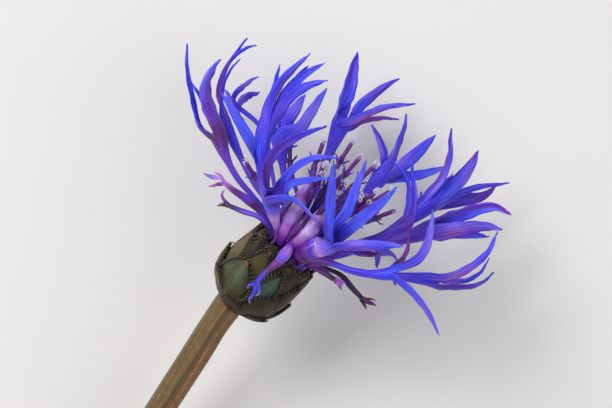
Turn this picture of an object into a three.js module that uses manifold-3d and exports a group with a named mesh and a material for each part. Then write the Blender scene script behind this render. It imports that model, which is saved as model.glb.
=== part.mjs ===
// A mountain cornflower (Centaurea montana), cut and laid down: one leafless stem, a globose
// involucre of overlapping comb-edged bracts, the tubular disc florets that stand in it, a ring of
// large ray florets, each a slender tube that splits into long pointed lobes, and a few florets
// that have bent down over the involucre.
//
// Millimetres. +Y runs along the flower from the cut end to the head, +Z is up from the surface
// that it lies on, +X is to the right when seen from above with the head away from the viewer.
// While it is being shaped, the origin is the centre of the involucre's mouth. At the end the whole
// flower is moved so that the origin is the middle of its footprint on the surface.
import * as THREE from "three";
import { mergeVertices } from "three/addons/utils/BufferGeometryUtils.js";
import Module from "manifold-3d";

const wasm = await Module();
wasm.setup();

// ---- Driving dimensions ----
const HEAD_TILT = 18; // degrees that the head's axis rises towards its top
const MOUTH_RADIUS = 5.5; // inside the ring of bract tips
const MOUTH_DEPTH = 2; // from the bract tips to the receptacle, where the florets stand
const SEAT_GAP = 0.3; // between a floret's foot and the receptacle
const RING_RADIUS = 4.75; // circle on which the ray florets stand
const FOOT_RADIUS = 0.42; // of a ray floret's tube where it stands in the mouth
const LOBE_THICKNESS = 0.72;
const EDGE_LIFT = 0.12; // of a lobe's edges over its middle plane
const LOBE_CHANNEL = 0.16; // depth of a lobe's lengthwise channel, as a share of its width
const BUD_RADIUS = 7.4; // the involucre's body under its bracts
const BUD_BASE = -16.2; // height of its foot along the axis, where the stem carries it
const BUD_BELLY = -9.8; // height of its widest place
const STEM_TOP_RADIUS = 2.75;
const STEM_END_RADIUS = 2.25;
const STEM_RIBS = 7;
const RIB_HEIGHT = 0.16;
const BRACT_THICKNESS = 0.75;
const TOOTH_LENGTH = 0.95;
const BRACT_REACH = 34; // degrees, half the angle of the widest bract
const BRACT_COLUMNS = 8; // facets across a bract; every other one ends in a comb tooth
const BRACT_NOTCH = 0.5; // depth of the notch between two bracts, as a share of their length
const BRACT_UNDERCUT = 0.12; // from a bract's edge to where its underside joins the body, of its length
const BRACT_PROUD = 0.32; // of the body, at its edges
const BRACT_CROWN = 0.4; // more than that along its middle
const BRACT_LIFT = 0.45; // more than that at its tip
const CORE_RADIUS = 3.3; // the packed feet of the disc florets
const DISC_COUNT = 12;
const GOLDEN_ANGLE = 137.508;
const SEED = 41;

const RAD = Math.PI / 180;
const UP = new THREE.Vector3(0, 0, 1);
const AXIS = new THREE.Vector3(0, Math.cos(HEAD_TILT * RAD), Math.sin(HEAD_TILT * RAD));

const v3 = ([x, y, z]) => new THREE.Vector3(x, y, z);

// A point of the head: angle round the axis (0 to the right, 90 on the upper side), distance from
// the axis, and height along it from the mouth.
function headPoint(angle, radius, height) {
  const out = new THREE.Vector3(
    Math.cos(angle * RAD),
    -AXIS.z * Math.sin(angle * RAD),
    AXIS.y * Math.sin(angle * RAD),
  );
  return out.multiplyScalar(radius).addScaledVector(AXIS, height);
}

// A repeatable draw between 0 and 1.
function seeded(seed) {
  let state = seed;
  return () => {
    state = (state * 1664525 + 1013904223) % 4294967296;
    return state / 4294967296;
  };
}

// ---- Solids ----

// A closed solid from rings of points: walls between neighbouring rings and a fan at each end. A
// last ring of one point makes a pointed end.
function loft(rings) {
  const points = [];
  const starts = rings.map((ring) => {
    const start = points.length;
    points.push(...ring);
    return start;
  });
  const faces = [];
  for (let i = 1; i < rings.length; i++) {
    const a = starts[i - 1];
    const b = starts[i];
    const n = rings[i - 1].length;
    for (let j = 0; j < n; j++) {
      const k = (j + 1) % n;
      if (rings[i].length === 1) faces.push(a + j, a + k, b);
      else faces.push(a + j, a + k, b + k, a + j, b + k, b + j);
    }
  }
  for (let j = 1; j + 1 < rings[0].length; j++) faces.push(0, j + 1, j);
  const last = rings.length - 1;
  for (let j = 1; j + 1 < rings[last].length; j++) {
    faces.push(starts[last], starts[last] + j, starts[last] + j + 1);
  }
  return solid(points, faces);
}

// A manifold solid from points and triangles. If the triangles face inwards, they are turned round.
function solid(points, faces) {
  let volume = 0;
  for (let i = 0; i < faces.length; i += 3) {
    const [a, b, c] = [points[faces[i]], points[faces[i + 1]], points[faces[i + 2]]];
    volume += a.dot(b.clone().cross(c));
  }
  const outward = volume < 0 ? [...faces].reverse() : faces;
  const geometry = new THREE.BufferGeometry().setFromPoints(points);
  geometry.setIndex(outward);
  const merged = mergeVertices(geometry, 1e-4);
  return new wasm.Manifold(
    new wasm.Mesh({
      numProp: 3,
      vertProperties: merged.attributes.position.array,
      triVerts: new Uint32Array(merged.index.array),
    }),
  );
}

const fuse = (solids) => solids.reduce((whole, next) => whole.add(next));

const smooth = (way) => new THREE.CatmullRomCurve3(way, false, "centripetal");

// Places along a smooth curve, each with a face direction that is carried along without twisting
// and then rolled about the curve, and the side direction square to it.
function stations(curve, shares, roll, facing) {
  const [rollStart, rollEnd] = Array.isArray(roll) ? roll : [roll, roll];
  let face = facing.clone();
  return shares.map((share) => {
    const along = curve.getTangent(share).normalize();
    face = face.addScaledVector(along, -face.dot(along)).normalize();
    const turned = face.clone().applyAxisAngle(along, (rollStart + (rollEnd - rollStart) * share) * RAD);
    return { at: curve.getPoint(share), face: turned, side: along.clone().cross(turned), share };
  });
}

const evenShares = (count) => Array.from({ length: count }, (_, i) => i / (count - 1));

// The face direction for a way: up, or along the head's axis where the way itself runs up or down.
function facingOf(way) {
  const run = way[way.length - 1].clone().sub(way[0]).normalize();
  return Math.abs(run.dot(UP)) > 0.8 ? AXIS.clone() : UP.clone();
}

// A round tube with a ring at each point of its way; radii run from its first end to its last.
function tube(way, radii, sides = 6) {
  const places = stations(smooth(way), evenShares(way.length), 0, facingOf(way));
  const rings = places.map(({ at, face, side, share }) => {
    const place = share * (radii.length - 1);
    const i = Math.min(Math.floor(place), radii.length - 2);
    const radius = radii[i] + (radii[i + 1] - radii[i]) * (place - i);
    return Array.from({ length: sides }, (_, k) => {
      const angle = (k / sides) * 2 * Math.PI;
      return at
        .clone()
        .addScaledVector(side, radius * Math.cos(angle))
        .addScaledVector(face, -radius * Math.sin(angle));
    });
  });
  return loft(rings);
}

// A lobe: a channelled blade with five corners across, narrow where it leaves the tube, widest past
// its middle and pointed at its tip.
const bladeWidth = (share) => Math.pow(1 - share, 0.7) * (0.8 + 1.35 * share);

function blade(way, width, roll = 0, steps = 6) {
  const curve = smooth(way);
  const shares = evenShares(steps + 1).map((share) => curve.getUtoTmapping(share * 0.94));
  const rings = stations(curve, shares, roll, facingOf(way)).map(({ at, face, side }, i) => {
    const share = (0.94 * i) / steps;
    const half = (width / 2) * bladeWidth(share);
    const thick = (LOBE_THICKNESS / 2) * (share > 0.8 ? 0.85 : 1);
    const corners = [
      [half, EDGE_LIFT],
      [0, thick],
      [-half, EDGE_LIFT],
      [-half * 0.45, -thick],
      [half * 0.45, -thick],
    ];
    return corners.map(([across, out]) => {
      const hollow = Math.sin(Math.PI * Math.min(1, share * 1.3));
      const lift = LOBE_CHANNEL * width * Math.pow(across / (width / 2), 2) * hollow;
      return at.clone().addScaledVector(side, across).addScaledVector(face, out + lift);
    });
  });
  rings.push([way[way.length - 1]]);
  return loft(rings);
}

// ---- Ray florets ----
// Each has its place on the ring, the way of its tube after it has left the mouth, the tube's
// radii from there to its throat, and its lobes. A lobe has its way from the throat to its tip, its
// width, its roll (the angle by which its broad face is turned from facing up, at its start and
// tip), and, where it leaves the tube or another lobe early, the place that it leaves from.
const RAY_FLORETS = {
  ray_floret_left: {
    angle: 191,
    tube: [[-8.6, 1.3, -1.2], [-11.9, 1.4, -1.2], [-16.3, 1.6, -1.4], [-20.9, 2.8, -1.8], [-24.6, 4.4, -2]],
    radii: [0.55, 0.65, 1.7],
    lobes: [
      {
        way: [
          [-28.2, 3.6, -2.2], [-30.4, 4.2, -1.6], [-33.4, 5.6, 0], [-37.4, 8.4, 2.4],
          [-41.3, 11.8, 4.6],
        ],
        width: 1.6, roll: [60, 20],
      },
      { way: [[-28.3, 6, -3.6], [-31.4, 6.7, -3.8], [-35.5, 7.5, -3.4]], width: 1.5, roll: 20 },
      {
        way: [
          [-27.6, 5.9, -0.9], [-31.5, 8, 0.6], [-33.2, 9.8, 1.4], [-34.4, 12.5, 1.8],
          [-34.6, 14.6, 1.6],
        ],
        width: 3.3, roll: 30,
      },
    ],
  },
  ray_floret_left_behind: {
    angle: 206,
    tube: [[-8.5, 2.4, -3.6], [-13.5, 3.2, -5], [-18.5, 4.6, -6], [-23.4, 6.2, -6.6]],
    radii: [0.5, 0.55, 1.1],
    lobes: [
      {
        way: [
          [-27, 8.2, -7.4], [-30.5, 10, -8], [-32.8, 13.4, -8.4], [-33.9, 17.4, -8.4],
          [-34.4, 21.2, -8.6],
        ],
        width: 1.35, roll: 35,
      },
      {
        way: [[-33.7, 18.6, -8.6], [-32.6, 21.5, -9.4]],
        from: [-33.7, 16.2, -8.4], width: 0.95, roll: 35,
      },
      {
        way: [[-28.6, 9, -5.2], [-31.2, 12.4, -4.6], [-32.3, 15.3, -4.6], [-32.5, 17.7, -4.8]],
        width: 1.15, roll: 40,
      },
      { way: [[-25.6, 7.4, -10.4], [-27.8, 8.2, -14.4], [-29.6, 9.2, -17.6]], width: 1.9, roll: 20 },
    ],
  },
  ray_floret_rear_left: {
    angle: 221,
    tube: [[-8, 4, -6.2], [-14, 8, -10], [-18, 10.6, -12], [-21.4, 11.5, -12.8], [-26.1, 10.9, -13]],
    radii: [0.42, 0.42, 0.5],
    lobes: [
      {
        way: [[-28.1, 11.3, -12.8], [-28.4, 13.6, -12.5], [-28.3, 15.8, -12.3], [-27.8, 17.8, -12.4]],
        width: 1.5, roll: 20,
      },
      { way: [[-26.6, 12.4, -12], [-26.2, 14, -11.8], [-25.4, 15.8, -12]], width: 2.1, roll: 5 },
      { way: [[-28.4, 10.8, -14.2], [-30.5, 11.4, -16.4]], width: 1.3, roll: 30 },
      {
        way: [[-27.2, 10.6, -16.4], [-26.6, 10.2, -20.4], [-25.4, 9.9, -24], [-24.4, 9.7, -26.2]],
        width: 2, roll: 0,
      },
    ],
  },
  ray_floret_front_left: {
    angle: 163,
    tube: [
      [-7, 1.3, 3.4], [-9.4, 2.5, 4.8], [-12, 4.4, 5.8], [-14.9, 6.8, 6.6], [-18.6, 10.3, 7],
      [-19.9, 12.6, 6.8],
    ],
    radii: [0.7, 1.1, 1.55, 1.85],
    lobes: [
      {
        way: [[-17.4, 7.6, 7.8], [-19.9, 8.2, 8.6], [-24.6, 9.3, 9.2], [-30.1, 10.4, 8.2]],
        from: [-14.6, 6.5, 6.6], width: 2.5, roll: 10,
      },
      { way: [[-22.2, 15.6, 5.4], [-24.3, 18.8, 4], [-26.5, 22, 2.6]], width: 1.5, roll: 25 },
      {
        way: [
          [-21.3, 14.4, 6.9], [-22.6, 16.7, 6.8], [-23.8, 20.4, 6], [-24, 24, 4.8],
          [-23.9, 27.7, 3.6],
        ],
        width: 2.1, roll: 25,
      },
      {
        way: [[-20.9, 16, 5.4], [-21.9, 20.6, 4.2], [-21.8, 24.4, 3], [-20.9, 28.5, 1.4]],
        width: 2.3, roll: 10,
      },
      { way: [[-22.4, 22.8, 3], [-22.7, 25.8, 1.4]], from: [-21.9, 20.2, 4.3], width: 1.2, roll: 10 },
      {
        way: [[-20.5, 16.2, 7.7], [-20.6, 19.8, 8.7], [-19.8, 23.2, 9.4], [-18, 26.5, 9.8]],
        width: 2.6, roll: -20,
      },
    ],
  },
  ray_floret_back_left: {
    angle: 236,
    tube: [[-5.5, 4.4, -5.4], [-9.6, 7.6, -7], [-13.5, 10.4, -8], [-16.4, 12.7, -8.8]],
    radii: [0.5, 0.7, 2],
    lobes: [
      { way: [[-17.8, 15.3, -9.6], [-18.5, 18.6, -11], [-19.4, 22, -13]], width: 3, roll: 5 },
      { way: [[-18.5, 15, -10.9], [-19.9, 17.9, -13.6]], width: 1.6, roll: 20 },
      {
        way: [[-15.3, 16.8, -9], [-15.9, 19.7, -9.6], [-16.7, 22.9, -10.8], [-17.5, 25.9, -12.4]],
        width: 2.6, roll: -10,
      },
      { way: [[-17.3, 14, -12.6], [-18.6, 15.4, -17], [-19.6, 16.6, -21]], width: 2, roll: 0 },
    ],
  },
  ray_floret_front_centre_left: {
    angle: 128,
    tube: [[-4.6, 0.8, 4.9], [-6.6, 2, 6.8], [-8.6, 3.5, 8.6], [-9.2, 4.6, 9.8]],
    radii: [0.95, 1.4, 1.85],
    lobes: [
      {
        way: [
          [-11.6, 5.8, 9.4], [-14, 7.7, 9.4], [-15, 10.4, 9.8], [-14.6, 13.4, 10.4],
          [-13.6, 16.8, 11.2], [-12, 20.6, 12],
        ],
        width: 2.3, roll: 15,
      },
      { way: [[-14.4, 11.6, 8.6], [-12.9, 14, 7.6]], from: [-14.9, 9.6, 9.5], width: 1.1, roll: 0 },
      {
        way: [
          [-9.8, 7.4, 12], [-10.2, 10, 13.2], [-9.9, 12.6, 14.2], [-8.6, 15.5, 15.4],
          [-5.8, 18, 16.4],
        ],
        width: 1.75, roll: -20,
      },
      {
        way: [[-8.6, 7.2, 12.6], [-8.2, 8.8, 13.8], [-6.6, 11.4, 15.6], [-4.3, 14.3, 17]],
        width: 1.7, roll: -25,
      },
      {
        way: [[-7.7, 5.2, 12.6], [-6, 6.3, 14.2], [-3.4, 6.8, 15.4], [0.5, 6.9, 16]],
        from: [-8.9, 3.9, 9.4], width: 1.9, roll: 10,
      },
    ],
  },
  ray_floret_back: {
    angle: 251,
    tube: [
      [-2.6, 5.6, -6.4], [-4.6, 10.6, -8.6], [-6.5, 14.6, -10], [-7.9, 17.6, -11],
      [-9.2, 20.3, -11.6], [-10.4, 22.9, -12],
    ],
    radii: [0.5, 0.6, 0.95, 1.9],
    lobes: [
      {
        way: [[-12.6, 25.9, -12.4], [-14.6, 29.2, -13], [-16.6, 32, -14], [-18.5, 34.8, -15.2]],
        width: 3.2, roll: 15,
      },
      {
        way: [[-10.6, 26, -11.6], [-10.4, 29.6, -11], [-10.1, 33.4, -10.8], [-9.3, 37.2, -11]],
        width: 2.3, roll: 5,
      },
      {
        way: [[-9.3, 25, -10.4], [-8.5, 28, -9.2], [-7.1, 31.6, -8.2], [-3.7, 36, -7.6]],
        width: 1.9, roll: -40,
      },
      {
        way: [[-8.9, 25, -13.4], [-7.3, 27.6, -15], [-5.8, 29.7, -16.4], [-3.4, 31.7, -18]],
        width: 1.5, roll: -30,
      },
      { way: [[-11.6, 24.8, -15], [-13, 27.2, -18.6], [-14.2, 29.2, -22.4]], width: 2.2, roll: 10 },
    ],
  },
  ray_floret_back_right: {
    angle: 282,
    tube: [
      [1.4, 5.6, -7], [2.5, 9.8, -10], [3, 13.9, -11.6], [2.6, 16.8, -12.2], [2.4, 19.4, -12.6],
      [1.9, 22.2, -13],
    ],
    radii: [0.5, 0.6, 0.95, 1.9],
    lobes: [
      { way: [[0.3, 24.4, -12], [-2.9, 26.2, -11.2], [-6.5, 27.3, -11.4]], width: 1.8, roll: 20 },
      {
        way: [[1.3, 25, -12.8], [0.2, 28, -13.4], [-1.3, 31, -14.2], [-3.3, 33.7, -15]],
        width: 1.7, roll: 30,
      },
      {
        way: [[2.9, 25.2, -13.4], [3.5, 28.6, -14], [3.5, 31.9, -15], [3.4, 35.2, -16.4]],
        width: 3, roll: 0,
      },
      {
        way: [[3.9, 23.9, -14.4], [6.4, 26.6, -15.4], [8.2, 29.8, -16.6], [9.4, 32.6, -18]],
        width: 2.4, roll: -15,
      },
      { way: [[1.9, 24, -16.2], [1.4, 25.6, -20], [1, 27, -23.6]], width: 2.1, roll: 0 },
    ],
  },
  ray_floret_front_centre: {
    angle: 62,
    tube: [[3.1, 0.9, 5.6], [4.1, 3.2, 8], [4.8, 5.6, 10], [4.9, 7, 10.8]],
    radii: [1, 1.4, 1.85],
    lobes: [
      {
        way: [[2.7, 8.3, 11.8], [-0.6, 11, 12.8], [-3.6, 14.2, 13.2], [-6.3, 17.1, 13.2]],
        width: 2.3, roll: 10,
      },
      {
        way: [[3.5, 9.8, 12.2], [2, 13.2, 13.2], [0, 17.2, 13.8], [-2, 21.5, 13.8]],
        width: 2.4, roll: -5,
      },
      {
        way: [[5, 10.6, 12.6], [5.2, 14.6, 14.2], [5.5, 18.4, 15.2], [5.4, 22.3, 15.8]],
        width: 2.7, roll: 0,
      },
      {
        way: [[6.9, 8.6, 12.6], [8.6, 9.9, 13.6], [11.2, 12.7, 14.9], [14.1, 15.7, 15.6]],
        width: 2.5, roll: -10,
      },
      { way: [[7.4, 7.6, 11], [10.4, 9.4, 11.5], [13.6, 12.6, 11.9]], width: 1.7, roll: -20 },
    ],
  },
  ray_floret_right: {
    angle: 312,
    tube: [
      [5, 4.8, -4.6], [8, 9.7, -5.6], [10.4, 14.5, -5.7], [11.2, 18.3, -5.6], [11.7, 21.6, -5.6],
      [11.9, 24.5, -5.6],
    ],
    radii: [0.5, 0.65, 1.1, 2],
    lobes: [
      {
        way: [[11, 27.2, -4.9], [10, 30, -3.9], [7.8, 33.8, -2.7], [4.3, 37.5, -1.6]],
        width: 2, roll: -35,
      },
      {
        way: [[12.3, 28.2, -5.6], [12.7, 32, -5.8], [12.2, 35.3, -6.2], [11.1, 38.7, -6.8]],
        width: 3.4, roll: 0,
      },
      {
        way: [[13.3, 27.4, -7], [14.7, 30.6, -8], [16.5, 34.4, -9.2], [19.8, 38.8, -10.8]],
        width: 1.7, roll: 25,
      },
      {
        way: [[13.5, 26.8, -8.8], [15.9, 30.2, -11], [18, 33.3, -13], [18.5, 36.7, -14.6]],
        width: 3.2, roll: 5,
      },
      { way: [[11.9, 27, -9.4], [11.6, 29.6, -13.4], [11.2, 32.2, -17]], width: 2.2, roll: 0 },
    ],
  },
  ray_floret_lower_right: {
    angle: 327,
    tube: [[6.6, 4.9, -2.4], [9.7, 9.8, -1.8], [12, 13.8, -1.4], [14.1, 18, -1], [15.5, 21.2, -0.8]],
    radii: [0.5, 0.65, 1.1, 1.9],
    lobes: [
      {
        way: [
          [16.4, 24.4, -1.4], [17.4, 27.4, -2], [19, 31, -2.4], [21.2, 33.8, -2.2],
          [24.2, 34.7, -1.6],
        ],
        width: 3.1, roll: 20,
      },
      {
        way: [[17.7, 23.8, 0], [20, 26.9, 0.8], [22.1, 29.5, 1.4], [24.8, 31.6, 1.8]],
        width: 3.2, roll: -15,
      },
      {
        way: [[17.8, 23, -3.6], [20.4, 25.4, -6.4], [22.6, 27.4, -9], [24.6, 29, -11.6]],
        width: 2.2, roll: 0,
      },
    ],
  },
  ray_floret_centre_right: {
    angle: 10,
    tube: [[6.3, 3.2, 1.6], [8.3, 7, 2.8], [10, 11.2, 4], [10.9, 14.8, 4.8], [11.4, 17, 5.2]],
    radii: [0.5, 0.7, 1.2],
    lobes: [
      {
        way: [
          [11.9, 18.9, 6.4], [11.1, 20.9, 7.2], [9.3, 22.9, 7.8], [6.4, 25.4, 8.2],
          [3.4, 27.7, 8.2],
        ],
        width: 1.8, roll: -15,
      },
      {
        way: [[11, 19.4, 5], [8.4, 22.6, 4.9], [5.2, 24.9, 4.9], [1.3, 25.2, 4.6]],
        width: 1.4, roll: -35,
      },
      { way: [[11.1, 19.6, 3.4], [10.8, 22.1, 2.2], [9.1, 25.1, 1.2]], width: 1.1, roll: 40 },
    ],
  },
  ray_floret_front_right: {
    angle: 39,
    tube: [
      [5.4, 2.6, 5], [8.3, 4.1, 6.9], [10.6, 5.2, 8.4], [13.3, 7.1, 9.8], [15.8, 9.6, 10.8],
      [16.7, 11, 11.2],
    ],
    radii: [0.55, 0.65, 0.8, 1.4],
    lobes: [
      {
        way: [
          [17.5, 13.1, 11.6], [17.9, 15.8, 12], [17.1, 18.7, 12.2], [15.2, 21.8, 12.2],
          [13, 24.3, 12],
        ],
        width: 2.1, roll: -10,
      },
      { way: [[16.4, 12.9, 10.2], [15.5, 15.4, 9.4], [13.2, 18.5, 8.6]], width: 1.2, roll: -40 },
      {
        way: [[18.6, 11.2, 11.8], [21.8, 11, 12.2], [25.8, 10.6, 12], [31, 9.3, 11]],
        width: 1.6, roll: 15,
      },
      { way: [[17.6, 10.6, 9.6], [18.8, 9.5, 7.6]], width: 1.3, roll: 20 },
    ],
  },
  ray_floret_far_right: {
    angle: 355,
    tube: [[7.2, 3, 0], [11.2, 5.7, 1.2], [15.5, 9.1, 2.4], [19.3, 12.4, 3.2], [22, 14.8, 3.8]],
    radii: [0.5, 0.65, 1.3],
    lobes: [
      {
        way: [
          [24, 17, 4.8], [25.1, 19.6, 5.4], [25.9, 23.6, 5.9], [25.7, 27.2, 5.8],
          [24.4, 30.5, 5.2],
        ],
        width: 2, roll: -20,
      },
      {
        way: [[24.8, 16, 3.2], [28.2, 19, 2.4], [29.6, 21.8, 1.8], [29.9, 24.9, 1.2]],
        width: 1.5, roll: 25,
      },
      {
        way: [[24.4, 17.3, 1.4], [27.1, 19.9, 0], [28, 23, -1], [27.1, 26, -1.8]],
        width: 1.4, roll: 20,
      },
      { way: [[23.6, 16.1, 0.4], [25.6, 17.4, -3.8], [27, 18.4, -8]], width: 1.9, roll: 0 },
    ],
  },
  ray_floret_under_left: {
    angle: 267,
    tube: [[-0.4, 5.6, -10.4], [-0.7, 8.1, -15.8], [-0.9, 9.6, -19.4]],
    radii: [0.5, 0.55, 1],
    lobes: [
      { way: [[-1.8, 11.8, -22.6], [-2.8, 14.4, -24.8], [-3.4, 17.2, -25.6]], width: 2.2, roll: 0 },
      { way: [[1, 11.6, -22.6], [2.8, 14, -24.8], [4.2, 16.6, -25.6]], width: 2.2, roll: 0 },
      { way: [[-3.4, 10.6, -22.2], [-6.2, 12, -24.6], [-8.8, 12.8, -25.6]], width: 2, roll: 0 },
      { way: [[0.6, 8.6, -22.4], [2.2, 7.8, -24.8], [4.2, 7.4, -25.8]], width: 1.9, roll: 0 },
    ],
  },
  ray_floret_under_right: {
    angle: 297,
    tube: [[5.6, 5.8, -9], [8.8, 9.6, -13.2], [11, 12.2, -16]],
    radii: [0.5, 0.55, 1],
    lobes: [
      { way: [[13, 13.2, -19.4], [14.8, 13.6, -23], [16.6, 13.4, -26.2]], width: 2.2, roll: 0 },
      { way: [[12.2, 14.4, -18.4], [13.6, 16.4, -21], [15.4, 18.4, -23]], width: 2.1, roll: 0 },
      { way: [[12.2, 11.2, -19.2], [13.6, 9.9, -22.4], [14.6, 9.2, -25]], width: 2, roll: 0 },
    ],
  },
};

// Florets that have bent out over the rim: a tube that swells to a throat, and short curled lobes.
const BENT_FLORETS = {
  bent_floret_front: {
    angle: 96,
    tube: [[-0.2, 0.2, 6.3], [0.3, -1.2, 7.7], [0.5, -3.6, 8.8], [0.3, -6.2, 9.2], [0.5, -8.5, 8.9]],
    radii: [0.6, 0.95, 0.65, 0.5, 0.5],
    lobes: [
      { way: [[0.5, -9.5, 8.6], [0.4, -10.8, 8]], width: 0.95, roll: 0 },
      { way: [[1, -9.8, 8.7], [1.9, -11, 8.2], [2.6, -12.7, 7.2]], width: 1, roll: 0 },
      { way: [[1.4, -9.3, 9.2], [2.5, -10.4, 9.2]], width: 0.9, roll: 20 },
    ],
  },
  bent_floret_left: {
    angle: 177,
    tube: [[-7.2, 0.3, 0.9], [-10, 0.5, 1.6], [-12.6, 0.1, 2], [-15.2, -0.5, 2.2], [-17.2, -0.8, 2.2]],
    radii: [0.45, 0.6, 0.45, 0.45],
    lobes: [
      { way: [[-19.2, -1.5, 2], [-21.3, -2.5, 1.4]], width: 1.2, roll: 0 },
      { way: [[-18, -2, 2.4], [-18.8, -3.4, 2.4]], width: 1, roll: 20 },
    ],
  },
  bent_floret_lower_left: {
    angle: 148,
    tube: [[-6.6, -0.3, 4], [-8.4, -0.5, 4.7], [-11.2, -2, 5.4], [-13.4, -3, 5.6]],
    radii: [0.45, 0.55, 0.42],
    lobes: [
      { way: [[-14.9, -3, 5.4], [-16.1, -2.1, 5]], width: 1, roll: 0 },
      { way: [[-14.3, -3.6, 6], [-15, -4.7, 6]], width: 0.9, roll: 0 },
    ],
  },
  bent_floret_right: {
    angle: 24,
    tube: [[6.6, 0.9, 3], [8.2, 1.5, 3.8], [9.9, 1.9, 4.2]],
    radii: [0.45, 0.6, 0.5],
    lobes: [
      { way: [[11.2, 2, 4.2], [12.4, 1.6, 3.8]], width: 1, roll: 0 },
      { way: [[10.9, 2.5, 4.7], [12.1, 2.9, 5.2]], width: 0.9, roll: 20 },
    ],
  },
  bent_floret_lower_right: {
    angle: 341,
    tube: [[7.6, 2.2, -2.2], [10.6, 3.4, -2.4], [13.4, 3.3, -2], [16, 3.3, -1.6]],
    radii: [0.45, 0.6, 0.45],
    lobes: [
      { way: [[17.4, 3.6, -1.4], [19.2, 4.4, -1]], width: 1.1, roll: 0 },
      { way: [[17, 3, -2.2], [18.4, 2.6, -2.8]], width: 0.9, roll: 0 },
    ],
  },
};

function floret({ angle, tube: way, radii, lobes }) {
  const foot = headPoint(angle, RING_RADIUS, SEAT_GAP - MOUTH_DEPTH);
  const brim = headPoint(angle, RING_RADIUS, 0.2);
  const points = [foot, brim, ...way.map(v3)];
  const stalk = tube(points, [FOOT_RADIUS, FOOT_RADIUS, ...radii]);
  const throat = points[points.length - 1];
  const before = smooth(points).getPointAt(0.965);
  const blades = lobes.map(({ way: path, width, roll, from }) => {
    const start = from ? [v3(from)] : [before, throat];
    return blade([...start, ...path.map(v3)], width, roll, path.length > 2 ? 5 : 4);
  });
  return fuse([stalk, ...blades]);
}

// ---- Involucre ----

// The body's radius at a height: round at its foot, widest at the belly, drawn in at the mouth.
function budRadius(height) {
  const below = (BUD_BELLY - height) / (BUD_BELLY - BUD_BASE);
  const above = (height - BUD_BELLY) / -BUD_BELLY;
  if (below > 0) return BUD_RADIUS * Math.sqrt(Math.max(0, 1 - Math.pow(below, 2.4) * 0.86));
  return BUD_RADIUS - (BUD_RADIUS - MOUTH_RADIUS - 0.3) * Math.pow(above, 1.7);
}

// The solid body: its outside follows budRadius, and its top is the mouth with a flat floor.
function bud() {
  const sides = 24;
  const ring = (radius, height) =>
    Array.from({ length: sides }, (_, i) => headPoint((i * 360) / sides, radius, height));
  const heights = [BUD_BASE, -15.6, -14.4, -12.6, BUD_BELLY, -6.6, -3.6, -0.9];
  const outside = heights.map((height) => ring(budRadius(height), height));
  return loft([...outside, ring(MOUTH_RADIUS, -0.9), ring(MOUTH_RADIUS, -MOUTH_DEPTH)]);
}

// The bracts stand in rows: the angle of each one's middle round the axis, the height of its tip,
// and the length of the row's bracts.
const BRACT_ROWS = [
  {
    angles: [26, 86, 146, 206, 266, 326],
    tips: [-12.7, -12.8, -11.6, -12.4, -12.6, -12.3],
    length: 3.4,
  },
  { angles: [50, 116, 176, 226, 288, 348], tips: [-7.4, -5.7, -8, -8.4, -9, -8.6], length: 6.8 },
  {
    angles: [22, 70, 152, 204, 252, 300, 344],
    tips: [-3.4, -2.6, -2.4, -3.4, -3.9, -3.3, -3],
    length: 6.4,
  },
  {
    angles: [2, 46, 104, 132, 178, 226, 272, 318],
    tips: [-0.9, -0.8, -1.2, -1, -0.7, -1, -0.8, -1.1],
    length: 5.6,
  },
];

// One row of bracts: a ring of egg-shaped scales that are grown together at their feet. Each is
// crowned across, comes to a point over its middle and ends in comb teeth. Across runs from -1 at
// one notch over 0 at the middle of the scale to 1 at the next notch. A notch lies halfway between
// two scales, and the lower tip of the two counts there.
function bractRow({ angles, tips, length }) {
  const count = tips.length;
  const halfGap = (from, to) => (((angles[to] - angles[from] + 360) % 360) / 2);
  const ring = (heightOf, outOf) =>
    Array.from({ length: count * BRACT_COLUMNS }, (_, i) => {
      const across = ((i % BRACT_COLUMNS) / BRACT_COLUMNS) * 2 - 1;
      const own = Math.floor(i / BRACT_COLUMNS);
      const before = (own + count - 1) % count;
      const tip = across === -1 ? Math.min(tips[own], tips[before]) : tips[own];
      const gap = across < 0 ? halfGap(before, own) : halfGap(own, (own + 1) % count);
      const reach = across === -1 ? gap : Math.min(gap, BRACT_REACH);
      const height = heightOf(tip, across, i % 2 === 1);
      return headPoint(angles[own] + across * reach, budRadius(height) + outOf(across), height);
    });
  const drop = (across) => length * BRACT_NOTCH * Math.pow(Math.abs(across), 1.7);
  const crown = (across) => BRACT_CROWN * (1 - across * across);
  const edge = (tip, across, tooth) => tip - drop(across) + (tooth ? TOOTH_LENGTH : 0);
  const proud = (across) => BRACT_PROUD + crown(across);
  const lifted = (across) => proud(across) * 0.8 + BRACT_LIFT;
  return loft([
    ring((tip) => tip - length, () => -0.7),
    ring((tip, across) => tip - length * 0.72 - drop(across) * 0.2, (across) => proud(across) * 0.5),
    ring((tip, across) => tip - length * 0.34 - drop(across) * 0.5, proud),
    ring(edge, lifted),
    ring(edge, (across) => lifted(across) - BRACT_THICKNESS),
    ring((tip, across) => edge(tip, across) - length * BRACT_UNDERCUT, () => -1.3),
  ]);
}

function involucre() {
  const mouth = loft(
    [-MOUTH_DEPTH, 3].map((height) =>
      Array.from({ length: 24 }, (_, i) => headPoint((i * 360) / 24, MOUTH_RADIUS, height)),
    ),
  );
  return fuse([bud(), ...BRACT_ROWS.map(bractRow)]).subtract(mouth);
}

// ---- Disc florets ----
// They share a packed core and spread from it. Each is a slender tube that flares into a small
// five-pointed throat, with a column of anthers standing out of it.
const DISC_REACHING = [
  [-10.5, 18.7, 1.5],
  [-6.6, 22.7, -2],
  [-0.3, 22.9, 0.5],
  [-14.6, 13.6, -1.6],
  [-6.8, 15.7, 7],
  [3.6, 19.4, 2.5],
  [5.4, 21.9, -2],
  [8.6, 19.4, -1.4],
  [-3.4, 21.6, 3.4],
  [-17.6, 4.9, 3.2],
];

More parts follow.
